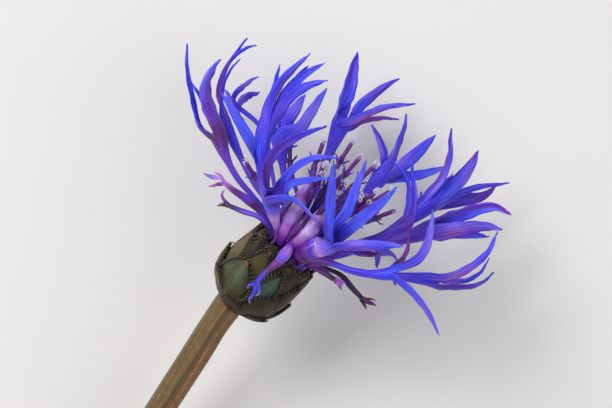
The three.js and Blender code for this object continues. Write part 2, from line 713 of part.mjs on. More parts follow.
function discFloret(tip, foot) {
  const lean = tip.clone().sub(foot);
  const bulge = lean.clone().addScaledVector(AXIS, lean.length()).multiplyScalar(0.15);
  const knee = foot.clone().add(bulge);
  const throat = foot.clone().addScaledVector(lean, 0.72);
  const stalk = tube([foot, knee, throat], [0.42, 0.42, 0.66], 5);
  const column = tube([foot.clone().addScaledVector(lean, 0.66), tip], [0.36, 0.44], 4);
  const out = lean.clone().normalize();
  const side = out.clone().cross(Math.abs(out.z) > 0.8 ? AXIS : UP).normalize();
  const points = [0, 1, 2].map((i) => {
    const aim = side.clone().applyAxisAngle(out, (i + 0.5) * 120 * RAD);
    const root = throat.clone().addScaledVector(out, -0.5).addScaledVector(aim, 0.25);
    const end = throat.clone().addScaledVector(out, 2.2).addScaledVector(aim, 1.7);
    return tube([root, end], [0.42, 0.3], 3);
  });
  return fuse([stalk, column, ...points]);
}

function discFlorets() {
  const draw = seeded(SEED + 1);
  const rings = [
    [SEAT_GAP - MOUTH_DEPTH, CORE_RADIUS],
    [0.6, CORE_RADIUS],
    [3, CORE_RADIUS * 0.92],
    [5.4, CORE_RADIUS * 0.6],
  ].map(([height, radius]) =>
    Array.from({ length: 12 }, (_, i) => headPoint(i * 30, radius, height)),
  );
  const core = loft([...rings, [headPoint(0, 0, 6.4)]]);
  const florets = DISC_REACHING.map((tip) => {
    const end = v3(tip);
    const height = end.dot(AXIS);
    const aside = end.clone().addScaledVector(AXIS, -height);
    const foot = aside.clone().normalize().multiplyScalar(1.9).addScaledVector(AXIS, 1.5);
    return discFloret(end, foot);
  });
  for (let i = 0; i < DISC_COUNT; i++) {
    const reach = Math.sqrt((i + 0.5) / DISC_COUNT);
    const angle = i * GOLDEN_ANGLE;
    const foot = headPoint(angle, 2.2 * reach, 1.2);
    const tip = headPoint(angle, 7.4 * reach, 18.5 - 3.6 * reach * reach + 1.6 * draw());
    florets.push(discFloret(tip, foot));
  }
  return fuse([core, ...florets]);
}

// ---- Stem ----
const STEM_WAY = [
  [1.1, -21, -6.8],
  [2.7, -27, -8.7],
  [5.6, -38.5, -12.3],
  [8.7, -50.5, -16],
  [11.6, -62.5, -19.4],
  [13.9, -74.5, -22.2],
  [15.6, -86, -24.1],
];

// A ribbed round stem, cut square at its end. Its top ring lies flat against the involucre's foot,
// although the head nods a little from the stem's own direction.
function stem() {
  const sides = STEM_RIBS * 2;
  const way = [headPoint(0, 0, BUD_BASE - SEAT_GAP), ...STEM_WAY.map(v3)];
  const ribbed = (i, share) =>
    STEM_TOP_RADIUS + (STEM_END_RADIUS - STEM_TOP_RADIUS) * share + RIB_HEIGHT * (i % 2 ? -1 : 1);
  const rings = stations(smooth(way), evenShares(13), 0, UP).map(({ at, face, side, share }) =>
    Array.from({ length: sides }, (_, i) => {
      const angle = (i / sides) * 2 * Math.PI;
      return at
        .clone()
        .addScaledVector(side, ribbed(i, share) * Math.cos(angle))
        .addScaledVector(face, -ribbed(i, share) * Math.sin(angle));
    }),
  );
  rings[0] = rings[0].map((_, i) => headPoint(180 + (i * 360) / sides, ribbed(i, 0), BUD_BASE - SEAT_GAP));
  return loft(rings);
}

// ---- Assembly ----
const finish = (color, roughness) => new THREE.MeshStandardMaterial({ color, roughness, metalness: 0 });
const PETAL_BLUE = finish(0x4f49dc, 0.6);
const PETAL_VIOLET = finish(0x6a3ab8, 0.6);
const DISC_PURPLE = finish(0x7a3a9c, 0.65);
const BRACT_OLIVE = finish(0x46422a, 0.6);
const STEM_OLIVE = finish(0x6e5a38, 0.7);

function mesh(name, made, material) {
  const { numProp, numVert, vertProperties, triVerts } = made.getMesh();
  const places = new Float32Array(numVert * 3);
  for (let i = 0; i < numVert; i++) {
    places.set(vertProperties.subarray(i * numProp, i * numProp + 3), i * 3);
  }
  const geometry = new THREE.BufferGeometry();
  geometry.setAttribute("position", new THREE.BufferAttribute(places, 3));
  geometry.setIndex(new THREE.BufferAttribute(triVerts, 1));
  geometry.computeVertexNormals();
  const node = new THREE.Mesh(geometry, material);
  node.name = name;
  return node;
}

const flower = new THREE.Group();
flower.add(mesh("stem", stem(), STEM_OLIVE));
flower.add(mesh("involucre", involucre(), BRACT_OLIVE));
flower.add(mesh("disc_florets", discFlorets(), DISC_PURPLE));
for (const [name, shape] of Object.entries(RAY_FLORETS)) flower.add(mesh(name, floret(shape), PETAL_BLUE));
for (const [name, shape] of Object.entries(BENT_FLORETS)) flower.add(mesh(name, floret(shape), PETAL_VIOLET));

// The origin goes to the middle of the footprint, on the surface that the flower lies on.
const box = new THREE.Box3().setFromObject(flower);
const centre = box.getCenter(new THREE.Vector3());
flower.position.set(-centre.x, -centre.y, -box.min.z);

export default flower;
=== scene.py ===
import math

import bmesh
import bpy
import numpy as np
from bpy.props import FloatProperty, FloatVectorProperty, IntProperty, PointerProperty
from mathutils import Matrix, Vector


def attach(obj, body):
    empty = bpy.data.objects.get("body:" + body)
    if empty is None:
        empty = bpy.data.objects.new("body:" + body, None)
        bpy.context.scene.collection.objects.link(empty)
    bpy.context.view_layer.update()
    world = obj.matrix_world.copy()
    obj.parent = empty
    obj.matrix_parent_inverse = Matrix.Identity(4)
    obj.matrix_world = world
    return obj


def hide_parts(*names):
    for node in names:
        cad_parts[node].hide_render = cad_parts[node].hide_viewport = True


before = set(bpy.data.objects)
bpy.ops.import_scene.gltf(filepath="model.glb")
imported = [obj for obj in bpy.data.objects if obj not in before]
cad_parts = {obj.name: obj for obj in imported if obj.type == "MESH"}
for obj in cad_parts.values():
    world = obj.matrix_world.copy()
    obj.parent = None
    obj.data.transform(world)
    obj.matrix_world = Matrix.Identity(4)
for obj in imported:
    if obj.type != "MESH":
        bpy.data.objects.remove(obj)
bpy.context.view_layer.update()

bl_info = {
    "name": "Mountain cornflower",
    "version": (1, 0, 0),
    "blender": (4, 5, 0),
    "location": "3D View > Sidebar > Cornflower",
    "description": "Builds a cut mountain cornflower over its solid parts",
    "category": "Add Mesh",
}

BODY = "root"
MM = 0.001
WELD = 2e-6  # metres; corners closer than this become one
SLIVER = 1e-13  # square metres; faces smaller than this are dropped

# ---- Where the flower lies ----
# Places on the flower are written in millimetres from the centre of the involucre's mouth, as
# (to the right, along the flower towards the head, up), as it is seen from above.
MOUTH = np.array([5.15, 23.86, 26.425])
HEAD_TILT = math.radians(18)  # that the head's axis rises towards its top
AXIS = np.array([0, math.cos(HEAD_TILT), math.sin(HEAD_TILT)])
UP = np.array([0.0, 0.0, 1.0])
STEEP = 0.8  # share of a way's run that goes straight up or down, past which it counts as steep

# The involucre and what stands in its mouth, in mm. Heights are along the head's axis, from the
# mouth's rim.
MOUTH_RADIUS = 5.5
MOUTH_DEPTH = 2
RING_RADIUS = 4.75
FOOT_RADIUS = 0.42
SEAT = 0.3
BUD_RADIUS = 7.4
BUD_BASE = -16.2
BUD_BELLY = -9.8
BUD_RIM = -0.9
FOOT_NARROWING = 0.86  # share of its section that the bud loses from its belly to its foot
FOOT_POWER = 2.4
RIM_WALL = 0.3
SHOULDER_POWER = 1.7  # of its narrowing from the belly to the mouth
BUD_ROWS = 26
BUD_SIDES = 72

# Rows of bracts, from the foot up: the length of a row's bracts, and for each of them the angle of its
# middle round the head, the height of its tip, half the angle it takes up, its tints from foot to tip, how
# much grey bloom and painted sheen lies on it and how pink its tip is. The tints hold painted light and
# shade besides each bract's own colour: the umber ones are partly brown and partly painted shade, and the
# teal one is a painted cool light on a bract's lit flank.
BRACT_ROWS = [
    (3.7, [
        (26, -12.7, 30, "umber olive umber", 0.1, 0), (86, -12.8, 28, "bark umber umber", 0, 0),
        (146, -11.6, 30, "straw straw olive", 0.2, 0), (206, -12.4, 30, "olive straw olive", 0.2, 0),
        (266, -12.6, 30, "olive moss olive", 0.2, 0.2), (326, -12.3, 30, "umber olive olive", 0.2, 0),
    ]),
    (7.9, [
        (50, -7.4, 33, "olive umber umber", 0.1, 0), (115, -5.8, 36, "olive moss moss", 1, 0.8),
        (176, -8, 27, "straw olive straw", 0.2, 0.2), (226, -8.4, 29, "olive moss olive", 0.5, 0.4),
        (288, -9, 32, "olive moss moss", 0.6, 0), (348, -8.6, 29, "umber olive umber", 0.2, 0.2),
    ]),
    (9, [
        (22, -3.4, 24, "umber umber olive", 0.1, 0), (67, -2.6, 20, "teal teal teal", 0.6, 0),
        (152, -2.4, 25, "olive straw straw", 0.3, 0.9), (204, -3.4, 25, "olive olive straw", 0.3, 0.3),
        (252, -3.9, 25, "moss olive straw", 0.5, 0), (300, -3.3, 25, "umber olive olive", 0.4, 0.4),
        (344, -3, 23, "olive umber straw", 0.3, 0),
    ]),
    (7.4, [
        (2, -0.9, 20, "umber olive umber", 0.1, 0.3), (46, -0.8, 21, "bark umber umber", 0, 0),
        (104, -1.2, 22, "umber olive umber", 0.1, 0.7), (132, -1, 18, "bark umber olive", 0, 0.2),
        (178, -0.7, 22, "olive straw umber", 0.2, 0.3), (226, -1, 22, "umber olive umber", 0.2, 0),
        (272, -0.8, 22, "olive olive umber", 0.3, 0.3), (318, -1.1, 22, "umber olive umber", 0.2, 0),
    ]),
    (4, [(24 + 40 * i, -0.4, 17, "bark umber tan", 0, 0.2) for i in range(9)]),
]
SCALE_ROWS = 22
SCALE_COLUMNS = 21
SCALE_HALF_WIDTH = 3.4  # mm, of the pattern across a bract
SCALE_SUNK = 0.4  # mm that a bract's root lies under the skin of the bud
SCALE_RISE = 0.95  # mm that it comes up from there, fast at first
TIP_STAND = 0.3  # mm that its tip stands off besides
BRACT_CROWN = 0.4  # mm that a bract's middle stands over its edges
TIP_OVER = 0.4  # mm that a bract's thin tip reaches over its own height
BLOOM_AND_SHEEN_MOST = 0.62  # share of the panel's tint that the bloom and painted sheen take at their thickest
MARGIN_WIDTH = 0.6  # mm of dark margin round a bract
MARGIN_SOFT = 0.3  # mm over which the margin gives way to the panel
TEETH_A_SIDE = 12
TOOTH_HALF = 0.1  # mm, half the width of a comb tooth at its root
TOOTH_ROOTS = (0.2, 0.975)  # shares of a bract's length between which its teeth stand
TOOTH_AIM = (0.78, 0.5, 0.2)  # of a tooth: away from the bract, along its edge and up

# The stem's way from the foot of the involucre to its cut end, and its tints from one side of it to the
# other, over its upper side as it lies: a dark streak along the middle, and paler edges of which the tan
# one is a painted highlight.
STEM_WAY = [
    (1.1, -21, -6.8), (2.7, -27, -8.7), (5.6, -38.5, -12.3), (8.7, -50.5, -16),
    (11.6, -62.5, -19.4), (13.9, -74.5, -22.2), (15.6, -86, -24.1),
]
STEM_STREAK_AND_SIDE_LIGHT = "tan stem tan olive umber stem straw stem straw bloom"
STEM_SHADE = 0.45  # how far they change the stem's own tint
STEM_TOP_RADIUS = 2.75
STEM_END_RADIUS = 2.25
STEM_RIBS = 7
STEM_ROWS = 120
STEM_SIDES = 98
RIB_RISE = 0.14  # mm that a rib stands out
GROOVE_RISE = 0.05  # mm that the finer grooves between them are deep
STEM_DRIFT = 0.03  # mm that the stem is out of round
WAIST_DEPTH = 0.12  # mm that it draws in below the involucre
HAIR_RADIUS = 0.032
HAIR_SINK = 0.06  # mm that a hair's foot is sunk into the skin
# Rings that close the cut end: share of the stem's radius there, mm sunk into it, and mm further
# along the pattern.
STEM_CUT = [(0.82, 0.05, 0.4), (0.4, 0.28, 1.4), (0, 0.3, 2.2)]

# Tubes of the neck on its upper side: way, radii along it and tints.
NECK_TUBES = [
    ([(-1.6, -0.8, 3), (-2.5, 1.2, 4.3), (-3.5, 3.4, 4.8), (-4.6, 5.8, 4.8), (-5.6, 8.6, 4),
      (-6.4, 11.4, 3)],
     (0.8, 1.45, 1.75, 1.6, 1.1, 0.5), "purple magenta pink pale white pink pale lilac"),
    ([(0, -1, 3.4), (0.2, 1.2, 4.8), (0.2, 3.6, 5.6), (0, 6.2, 5.8), (-0.4, 9, 5), (-0.9, 12, 4)],
     (0.8, 1.3, 1.6, 1.6, 1.1, 0.5), "maroon magenta pink white pale white pink purple"),
    ([(1.7, -0.6, 3.4), (2.4, 0.9, 4.9), (3, 2.6, 5.8), (3.4, 4.2, 6.4), (3.8, 5.6, 6.6)],
     (0.9, 1.75, 1.9, 1.7, 1.3), "dark maroon magenta dark magenta purple lilac pale lilac"),
    ([(3.2, -0.4, 2), (4.4, 0.8, 3), (5.6, 2.4, 3.6), (6.9, 4.2, 3.6)],
     (0.6, 1.1, 1.1, 0.5), "maroon dark magenta purple violet"),
    ([(-3.2, 0, 2.2), (-4.4, 1.8, 3), (-5.5, 4, 3.4), (-6.6, 6.6, 3)],
     (0.6, 1.1, 1.1, 0.5), "magenta purple pink lilac violet"),
    # The last two are thin dark tubes laid in the gaps between the broad ones: painted shade for the shadow
    # between them.
    ([(-1.1, 0.4, 5), (-1.5, 2.4, 6.4), (-1.8, 4.6, 7), (-2.2, 7.4, 6.8)],
     (0.3, 0.62, 0.62, 0.3), "magenta dark maroon dark purple"),
    ([(-5, 1.2, 4.4), (-5.2, 3.4, 5.4), (-5.7, 5.6, 5.6), (-6.4, 8, 5)],
     (0.2, 0.4, 0.4, 0.2), "purple magenta dark purple"),
]
# The other tubes of the neck: how many, the angle of the first, the turn from one to the next, in
# degrees, their radii and their tints in turn.
NECK_COUNT = 6
NECK_FIRST = 190
NECK_TURN = 32
NECK_RADII = (0.7, 1.2, 1.15, 0.8, 0.3)
NECK_LOOKS = ("pale pale pale pink violet", "lilac pale lilac purple", "purple magenta pale pink purple")
# The toothed edge of a split tube: the ends of the row of its teeth, their aim and how many.
FRILL_ENDS = ((2.4, 4.3, 8.9), (4.6, 3.4, 9.5))
FRILL_AIM = (0.75, -0.7, 0.1)
FRILL_COUNT = 7
AXIS_ACROSS = np.array([0, 0.3, 1])  # a direction that no tube of the neck runs along
TUBE_RIBS = 5  # folds round a tube of the neck or an anther column

BENT_THINNER = 0.8  # thickness of a bent floret's skin against a ray floret's
DISC_THINNER = 0.7  # and of a disc floret's

# Ends of the tallest disc florets, each with how full a head of pollen it carries.
DISC_REACHING = [
    (-10.5, 18.7, 1.5, 1), (-6.6, 22.7, -2, 1), (-0.3, 22.9, 0.5, 1), (-14.6, 13.6, -1.6, 1),
    (-6.8, 15.7, 7, 1), (3.6, 19.4, 2.5, 1), (5.4, 21.9, -2, 1), (8.6, 19.4, -1.4, 0.4),
    (-3.4, 21.6, 3.4, 0.15), (-17.6, 4.9, 3.2, 0.25),
]
DISC_COUNT = 12  # florets that fill the head between them
GOLDEN_ANGLE = 137.508
FOOT_SPREAD = 2.2  # mm from the axis that the feet of those reach
END_SPREAD = 7.2  # and their ends
DOME_TOP = 17.6  # mm over the mouth that they end in the middle of the head
DOME_FALL = 3.6  # mm lower at its edge, by the square of the distance
DOME_UNEVEN = 1.4
POLLEN_REST = 0.25  # how full the heads of those are
POLLEN_HEAP = 190  # grains of a full head

# ---- The stage ----
SENSOR = 36  # mm, width of the camera's film
VIEW_TURN = math.radians(47)  # from the frame's own right to the view's right
VIEW_CENTRE = (1.28, 31.6)  # mm, in the frame
FLOOR_WIDTH = 2.0
ROOM_LIGHT = 0.45
# Lights: right, up and above the view's centre, width, in metres, and power in watts.
LIGHTS = {"key": (-0.3, 0.32, 0.55, 0.35, 3.6), "fill": (0.42, -0.2, 0.5, 0.6, 1.3)}

# ---- Ray florets and bent florets ----


def lobe(width, roll, tints, *way, leaves=None, other=None):
    """A lobe: its width, the degrees that its broad face is rolled from facing up (for its root
    and its tip where they differ), its tints from root to tip, and its way from the throat to its
    tip. Some leave the tube or another lobe early, and some have other tints on one side."""
    return dict(width=width, roll=roll, tints=tints, way=way, leaves=leaves, other=other or tints)


def floret(angle, radii, tints, tube, *lobes):
    """A floret: the angle of its place in the mouth, the radii and tints of its tube, the way of
    the tube, and its lobes."""
    return dict(angle=angle, radii=radii, tints=tints, tube=tube, lobes=lobes)


RAY_FLORETS = {
    "left": floret(
        191, (0.55, 0.65, 1.7), "lilac violet purple mauve maroon",
        [(-8.6, 1.3, -1.2), (-11.9, 1.4, -1.2), (-16.3, 1.6, -1.4), (-20.9, 2.8, -1.8), (-24.6, 4.4, -2)],
        lobe(1.6, (60, 20), "violet blue bright", (-28.2, 3.6, -2.2), (-30.4, 4.2, -1.6), (-33.4, 5.6, 0),
             (-37.4, 8.4, 2.4), (-41.3, 11.8, 4.6)),
        lobe(1.5, 20, "violet blue bright", (-28.3, 6, -3.6), (-31.4, 6.7, -3.8), (-35.5, 7.5, -3.4)),
        lobe(3.3, 30, "maroon mauve lilac bright", (-27.6, 5.9, -0.9), (-31.5, 8, 0.6), (-33.2, 9.8, 1.4),
             (-34.4, 12.5, 1.8), (-34.6, 14.6, 1.6), other="maroon mauve mauve lilac"),
    ),
    "left_behind": floret(
        206, (0.5, 0.55, 1.1), "pale purple violet",
        [(-8.5, 2.4, -3.6), (-13.5, 3.2, -5), (-18.5, 4.6, -6), (-23.4, 6.2, -6.6)],
        lobe(1.35, 35, "purple magenta purple violet", (-27, 8.2, -7.4), (-30.5, 10, -8),
             (-32.8, 13.4, -8.4), (-33.9, 17.4, -8.4), (-34.4, 21.2, -8.6)),
        lobe(0.95, 35, "violet blue bright", (-33.7, 18.6, -8.6), (-32.6, 21.5, -9.4),
             leaves=(-33.7, 16.2, -8.4)),
        lobe(1.15, 40, "purple violet blue", (-28.6, 9, -5.2), (-31.2, 12.4, -4.6), (-32.3, 15.3, -4.6),
             (-32.5, 17.7, -4.8)),
        lobe(1.9, 20, "purple violet blue", (-25.6, 7.4, -10.4), (-27.8, 8.2, -14.4), (-29.6, 9.2, -17.6)),
    ),
    "rear_left": floret(
        221, (0.42, 0.42, 0.5), "pale purple violet",
        [(-8, 4, -6.2), (-14, 8, -10), (-18, 10.6, -12), (-21.4, 11.5, -12.8), (-26.1, 10.9, -13)],
        lobe(1.5, 20, "purple violet lilac violet", (-28.1, 11.3, -12.8), (-28.4, 13.6, -12.5),
             (-28.3, 15.8, -12.3), (-27.8, 17.8, -12.4)),
        lobe(2.1, 5, "violet lilac purple violet", (-26.6, 12.4, -12), (-26.2, 14, -11.8),
             (-25.4, 15.8, -12)),
        lobe(1.3, 30, "violet lilac bright", (-28.4, 10.8, -14.2), (-30.5, 11.4, -16.4)),
        lobe(2, 0, "purple violet blue", (-27.2, 10.6, -16.4), (-26.6, 10.2, -20.4), (-25.4, 9.9, -24),
             (-24.4, 9.7, -26.2)),
    ),
    "front_left": floret(
        163, (0.7, 1.1, 1.55, 1.85), "maroon purple lilac violet blue violet",
        [(-7, 1.3, 3.4), (-9.4, 2.5, 4.8), (-12, 4.4, 5.8), (-14.9, 6.8, 6.6), (-18.6, 10.3, 7),
         (-19.9, 12.6, 6.8)],
        lobe(2.5, 10, "deep bright bright", (-17.4, 7.6, 7.8), (-19.9, 8.2, 8.6), (-24.6, 9.3, 9.2),
             (-30.1, 10.4, 8.2), leaves=(-14.6, 6.5, 6.6)),
        lobe(1.5, 25, "violet blue bright", (-22.2, 15.6, 5.4), (-24.3, 18.8, 4), (-26.5, 22, 2.6)),
        lobe(2.1, 25, "violet blue bright", (-21.3, 14.4, 6.9), (-22.6, 16.7, 6.8), (-23.8, 20.4, 6),
             (-24, 24, 4.8), (-23.9, 27.7, 3.6), other="violet purple lilac"),
        lobe(2.3, 10, "violet blue bright", (-20.9, 16, 5.4), (-21.9, 20.6, 4.2), (-21.8, 24.4, 3),
             (-20.9, 28.5, 1.4)),
        lobe(1.2, 10, "blue blue bright", (-22.4, 22.8, 3), (-22.7, 25.8, 1.4), leaves=(-21.9, 20.2, 4.3)),
        lobe(2.6, -20, "purple violet blue", (-20.5, 16.2, 7.7), (-20.6, 19.8, 8.7), (-19.8, 23.2, 9.4),
             (-18, 26.5, 9.8)),
    ),
    "back_left": floret(
        236, (0.5, 0.7, 2), "pale purple violet",
        [(-5.5, 4.4, -5.4), (-9.6, 7.6, -7), (-13.5, 10.4, -8), (-16.4, 12.7, -8.8)],
        lobe(3, 5, "lilac violet lilac bright", (-17.8, 15.3, -9.6), (-18.5, 18.6, -11), (-19.4, 22, -13)),
        lobe(1.6, 20, "violet blue bright", (-18.5, 15, -10.9), (-19.9, 17.9, -13.6)),
        lobe(2.6, -10, "blue lilac bright", (-15.3, 16.8, -9), (-15.9, 19.7, -9.6), (-16.7, 22.9, -10.8),
             (-17.5, 25.9, -12.4)),
        lobe(2, 0, "purple violet blue", (-17.3, 14, -12.6), (-18.6, 15.4, -17), (-19.6, 16.6, -21)),
    ),
    "front_centre_left": floret(
        128, (0.95, 1.4, 1.85), "dark maroon magenta pale white lilac purple purple",
        [(-4.6, 0.8, 4.9), (-6.6, 2, 6.8), (-8.6, 3.5, 8.6), (-9.2, 4.6, 9.8)],
        lobe(2.3, 15, "maroon purple blue", (-11.6, 5.8, 9.4), (-14, 7.7, 9.4), (-15, 10.4, 9.8),
             (-14.6, 13.4, 10.4), (-13.6, 16.8, 11.2), (-12, 20.6, 12)),
        lobe(1.1, 0, "purple violet blue", (-14.4, 11.6, 8.6), (-12.9, 14, 7.6), leaves=(-14.9, 9.6, 9.5)),
        lobe(1.75, -20, "violet bright bright", (-9.8, 7.4, 12), (-10.2, 10, 13.2), (-9.9, 12.6, 14.2),
             (-8.6, 15.5, 15.4), (-5.8, 18, 16.4)),
        lobe(1.7, -25, "violet bright bright", (-8.6, 7.2, 12.6), (-8.2, 8.8, 13.8), (-6.6, 11.4, 15.6),
             (-4.3, 14.3, 17)),
        lobe(1.9, 10, "violet bright lilac", (-7.7, 5.2, 12.6), (-6, 6.3, 14.2), (-3.4, 6.8, 15.4),
             (0.5, 6.9, 16), leaves=(-8.9, 3.9, 9.4)),
    ),
    "back": floret(
        251, (0.5, 0.6, 0.95, 1.9), "pale purple violet",
        [(-2.6, 5.6, -6.4), (-4.6, 10.6, -8.6), (-6.5, 14.6, -10), (-7.9, 17.6, -11), (-9.2, 20.3, -11.6),
         (-10.4, 22.9, -12)],
        lobe(3.2, 15, "violet blue violet violet", (-12.6, 25.9, -12.4), (-14.6, 29.2, -13),
             (-16.6, 32, -14), (-18.5, 34.8, -15.2), other="violet violet purple violet"),
        lobe(2.3, 5, "violet blue purple violet", (-10.6, 26, -11.6), (-10.4, 29.6, -11),
             (-10.1, 33.4, -10.8), (-9.3, 37.2, -11)),
        lobe(1.9, (-25, -40), "blue bright bright", (-9.3, 25, -10.4), (-8.5, 28, -9.2), (-7.1, 31.6, -8.2),
             (-3.7, 36, -7.6), other="purple magenta purple violet"),
        lobe(1.5, -30, "purple magenta mauve", (-8.9, 25, -13.4), (-7.3, 27.6, -15), (-5.8, 29.7, -16.4),
             (-3.4, 31.7, -18)),
        lobe(2.2, 10, "purple violet blue", (-11.6, 24.8, -15), (-13, 27.2, -18.6), (-14.2, 29.2, -22.4)),
    ),
    "back_right": floret(
        282, (0.5, 0.6, 0.95, 1.9), "pale purple violet",
        [(1.4, 5.6, -7), (2.5, 9.8, -10), (3, 13.9, -11.6), (2.6, 16.8, -12.2), (2.4, 19.4, -12.6),
         (1.9, 22.2, -13)],
        lobe(1.8, 20, "violet violet purple violet", (0.3, 24.4, -12), (-2.9, 26.2, -11.2),
             (-6.5, 27.3, -11.4), other="violet lilac violet"),
        lobe(1.7, 30, "violet lilac violet bright", (1.3, 25, -12.8), (0.2, 28, -13.4), (-1.3, 31, -14.2),
             (-3.3, 33.7, -15), other="violet purple violet"),
        lobe(3, 0, "violet lilac violet bright", (2.9, 25.2, -13.4), (3.5, 28.6, -14), (3.5, 31.9, -15),
             (3.4, 35.2, -16.4), other="violet blue bright bright"),
        lobe(2.4, -15, "lilac violet bright lilac", (3.9, 23.9, -14.4), (6.4, 26.6, -15.4),
             (8.2, 29.8, -16.6), (9.4, 32.6, -18)),
        lobe(2.1, 0, "purple violet blue", (1.9, 24, -16.2), (1.4, 25.6, -20), (1, 27, -23.6)),
    ),
    "front_centre": floret(
        62, (1, 1.4, 1.85), "dark maroon dark magenta purple pale lilac deep",
        [(3.1, 0.9, 5.6), (4.1, 3.2, 8), (4.8, 5.6, 10), (4.9, 7, 10.8)],
        lobe(2.3, 10, "deep bright bright", (2.7, 8.3, 11.8), (-0.6, 11, 12.8), (-3.6, 14.2, 13.2),
             (-6.3, 17.1, 13.2)),
        lobe(2.4, -5, "deep bright bright", (3.5, 9.8, 12.2), (2, 13.2, 13.2), (0, 17.2, 13.8),
             (-2, 21.5, 13.8)),
        lobe(2.7, 0, "deep bright bright", (5, 10.6, 12.6), (5.2, 14.6, 14.2), (5.5, 18.4, 15.2),
             (5.4, 22.3, 15.8)),
        lobe(2.5, -10, "violet lilac bright lilac", (6.9, 8.6, 12.6), (8.6, 9.9, 13.6), (11.2, 12.7, 14.9),
             (14.1, 15.7, 15.6), other="purple mauve violet bright"),
        lobe(1.7, -20, "magenta purple maroon lilac", (7.4, 7.6, 11), (10.4, 9.4, 11.5),
             (13.6, 12.6, 11.9)),
    ),
    "right": floret(
        312, (0.5, 0.65, 1.1, 2), "lilac purple violet",
        [(5, 4.8, -4.6), (8, 9.7, -5.6), (10.4, 14.5, -5.7), (11.2, 18.3, -5.6), (11.7, 21.6, -5.6),
         (11.9, 24.5, -5.6)],
        lobe(2, -35, "purple mauve magenta purple", (11, 27.2, -4.9), (10, 30, -3.9), (7.8, 33.8, -2.7),
             (4.3, 37.5, -1.6), other="violet lilac bright violet"),
        lobe(3.4, 0, "blue blue violet magenta", (12.3, 28.2, -5.6), (12.7, 32, -5.8), (12.2, 35.3, -6.2),
             (11.1, 38.7, -6.8), other="blue bright lilac violet"),
        lobe(1.7, 25, "violet blue violet purple", (13.3, 27.4, -7), (14.7, 30.6, -8), (16.5, 34.4, -9.2),
             (19.8, 38.8, -10.8)),
        lobe(3.2, 5, "maroon purple purple magenta", (13.5, 26.8, -8.8), (15.9, 30.2, -11), (18, 33.3, -13),
             (18.5, 36.7, -14.6)),
        lobe(2.2, 0, "maroon purple violet", (11.9, 27, -9.4), (11.6, 29.6, -13.4), (11.2, 32.2, -17)),
    ),
    "lower_right": floret(
        327, (0.5, 0.65, 1.1, 1.9), "pink magenta purple",
        [(6.6, 4.9, -2.4), (9.7, 9.8, -1.8), (12, 13.8, -1.4), (14.1, 18, -1), (15.5, 21.2, -0.8)],
        lobe(3.1, 20, "violet blue lilac", (16.4, 24.4, -1.4), (17.4, 27.4, -2), (19, 31, -2.4),
             (21.2, 33.8, -2.2), (24.2, 34.7, -1.6), other="maroon purple mauve magenta"),
        lobe(3.2, -15, "purple lilac purple violet", (17.7, 23.8, 0), (20, 26.9, 0.8), (22.1, 29.5, 1.4),
             (24.8, 31.6, 1.8), other="violet magenta purple lilac"),
        lobe(2.2, 0, "purple violet blue", (17.8, 23, -3.6), (20.4, 25.4, -6.4), (22.6, 27.4, -9),
             (24.6, 29, -11.6)),
    ),
    "centre_right": floret(
        10, (0.5, 0.7, 1.2), "pale purple purple",
        [(6.3, 3.2, 1.6), (8.3, 7, 2.8), (10, 11.2, 4), (10.9, 14.8, 4.8), (11.4, 17, 5.2)],
        lobe(1.8, -15, "maroon purple violet blue", (11.9, 18.9, 6.4), (11.1, 20.9, 7.2), (9.3, 22.9, 7.8),
             (6.4, 25.4, 8.2), (3.4, 27.7, 8.2)),
        lobe(1.4, -35, "purple violet blue", (11, 19.4, 5), (8.4, 22.6, 4.9), (5.2, 24.9, 4.9),
             (1.3, 25.2, 4.6)),
        lobe(1.1, 40, "maroon purple violet", (11.1, 19.6, 3.4), (10.8, 22.1, 2.2), (9.1, 25.1, 1.2)),
    ),
    "front_right": floret(
        39, (0.55, 0.65, 0.8, 1.4), "magenta pink violet violet blue",
        [(5.4, 2.6, 5), (8.3, 4.1, 6.9), (10.6, 5.2, 8.4), (13.3, 7.1, 9.8), (15.8, 9.6, 10.8),
         (16.7, 11, 11.2)],
        lobe(2.1, -10, "purple violet lilac bright", (17.5, 13.1, 11.6), (17.9, 15.8, 12),
             (17.1, 18.7, 12.2), (15.2, 21.8, 12.2), (13, 24.3, 12)),
        lobe(1.2, -40, "magenta maroon magenta maroon", (16.4, 12.9, 10.2), (15.5, 15.4, 9.4),
             (13.2, 18.5, 8.6)),
        lobe(1.6, 15, "violet bright lilac bright", (18.6, 11.2, 11.8), (21.8, 11, 12.2), (25.8, 10.6, 12),
             (31, 9.3, 11)),
        lobe(1.3, 20, "pink purple violet", (17.6, 10.6, 9.6), (18.8, 9.5, 7.6)),
    ),
    "far_right": floret(
        355, (0.5, 0.65, 1.3), "pink purple violet",
        [(7.2, 3, 0), (11.2, 5.7, 1.2), (15.5, 9.1, 2.4), (19.3, 12.4, 3.2), (22, 14.8, 3.8)],
        lobe(2, -20, "violet lilac violet bright", (24, 17, 4.8), (25.1, 19.6, 5.4), (25.9, 23.6, 5.9),
             (25.7, 27.2, 5.8), (24.4, 30.5, 5.2), other="purple magenta violet bright"),
        lobe(1.5, 25, "maroon purple violet", (24.8, 16, 3.2), (28.2, 19, 2.4), (29.6, 21.8, 1.8),
             (29.9, 24.9, 1.2)),
        lobe(1.4, 20, "purple lilac violet blue", (24.4, 17.3, 1.4), (27.1, 19.9, 0), (28, 23, -1),
             (27.1, 26, -1.8)),
        lobe(1.9, 0, "purple violet blue", (23.6, 16.1, 0.4), (25.6, 17.4, -3.8), (27, 18.4, -8)),
    ),
    "under_left": floret(
        267, (0.5, 0.55, 1), "pale purple violet",
        [(-0.4, 5.6, -10.4), (-0.7, 8.1, -15.8), (-0.9, 9.6, -19.4)],
        lobe(2.2, 0, "purple violet blue", (-1.8, 11.8, -22.6), (-2.8, 14.4, -24.8), (-3.4, 17.2, -25.6)),
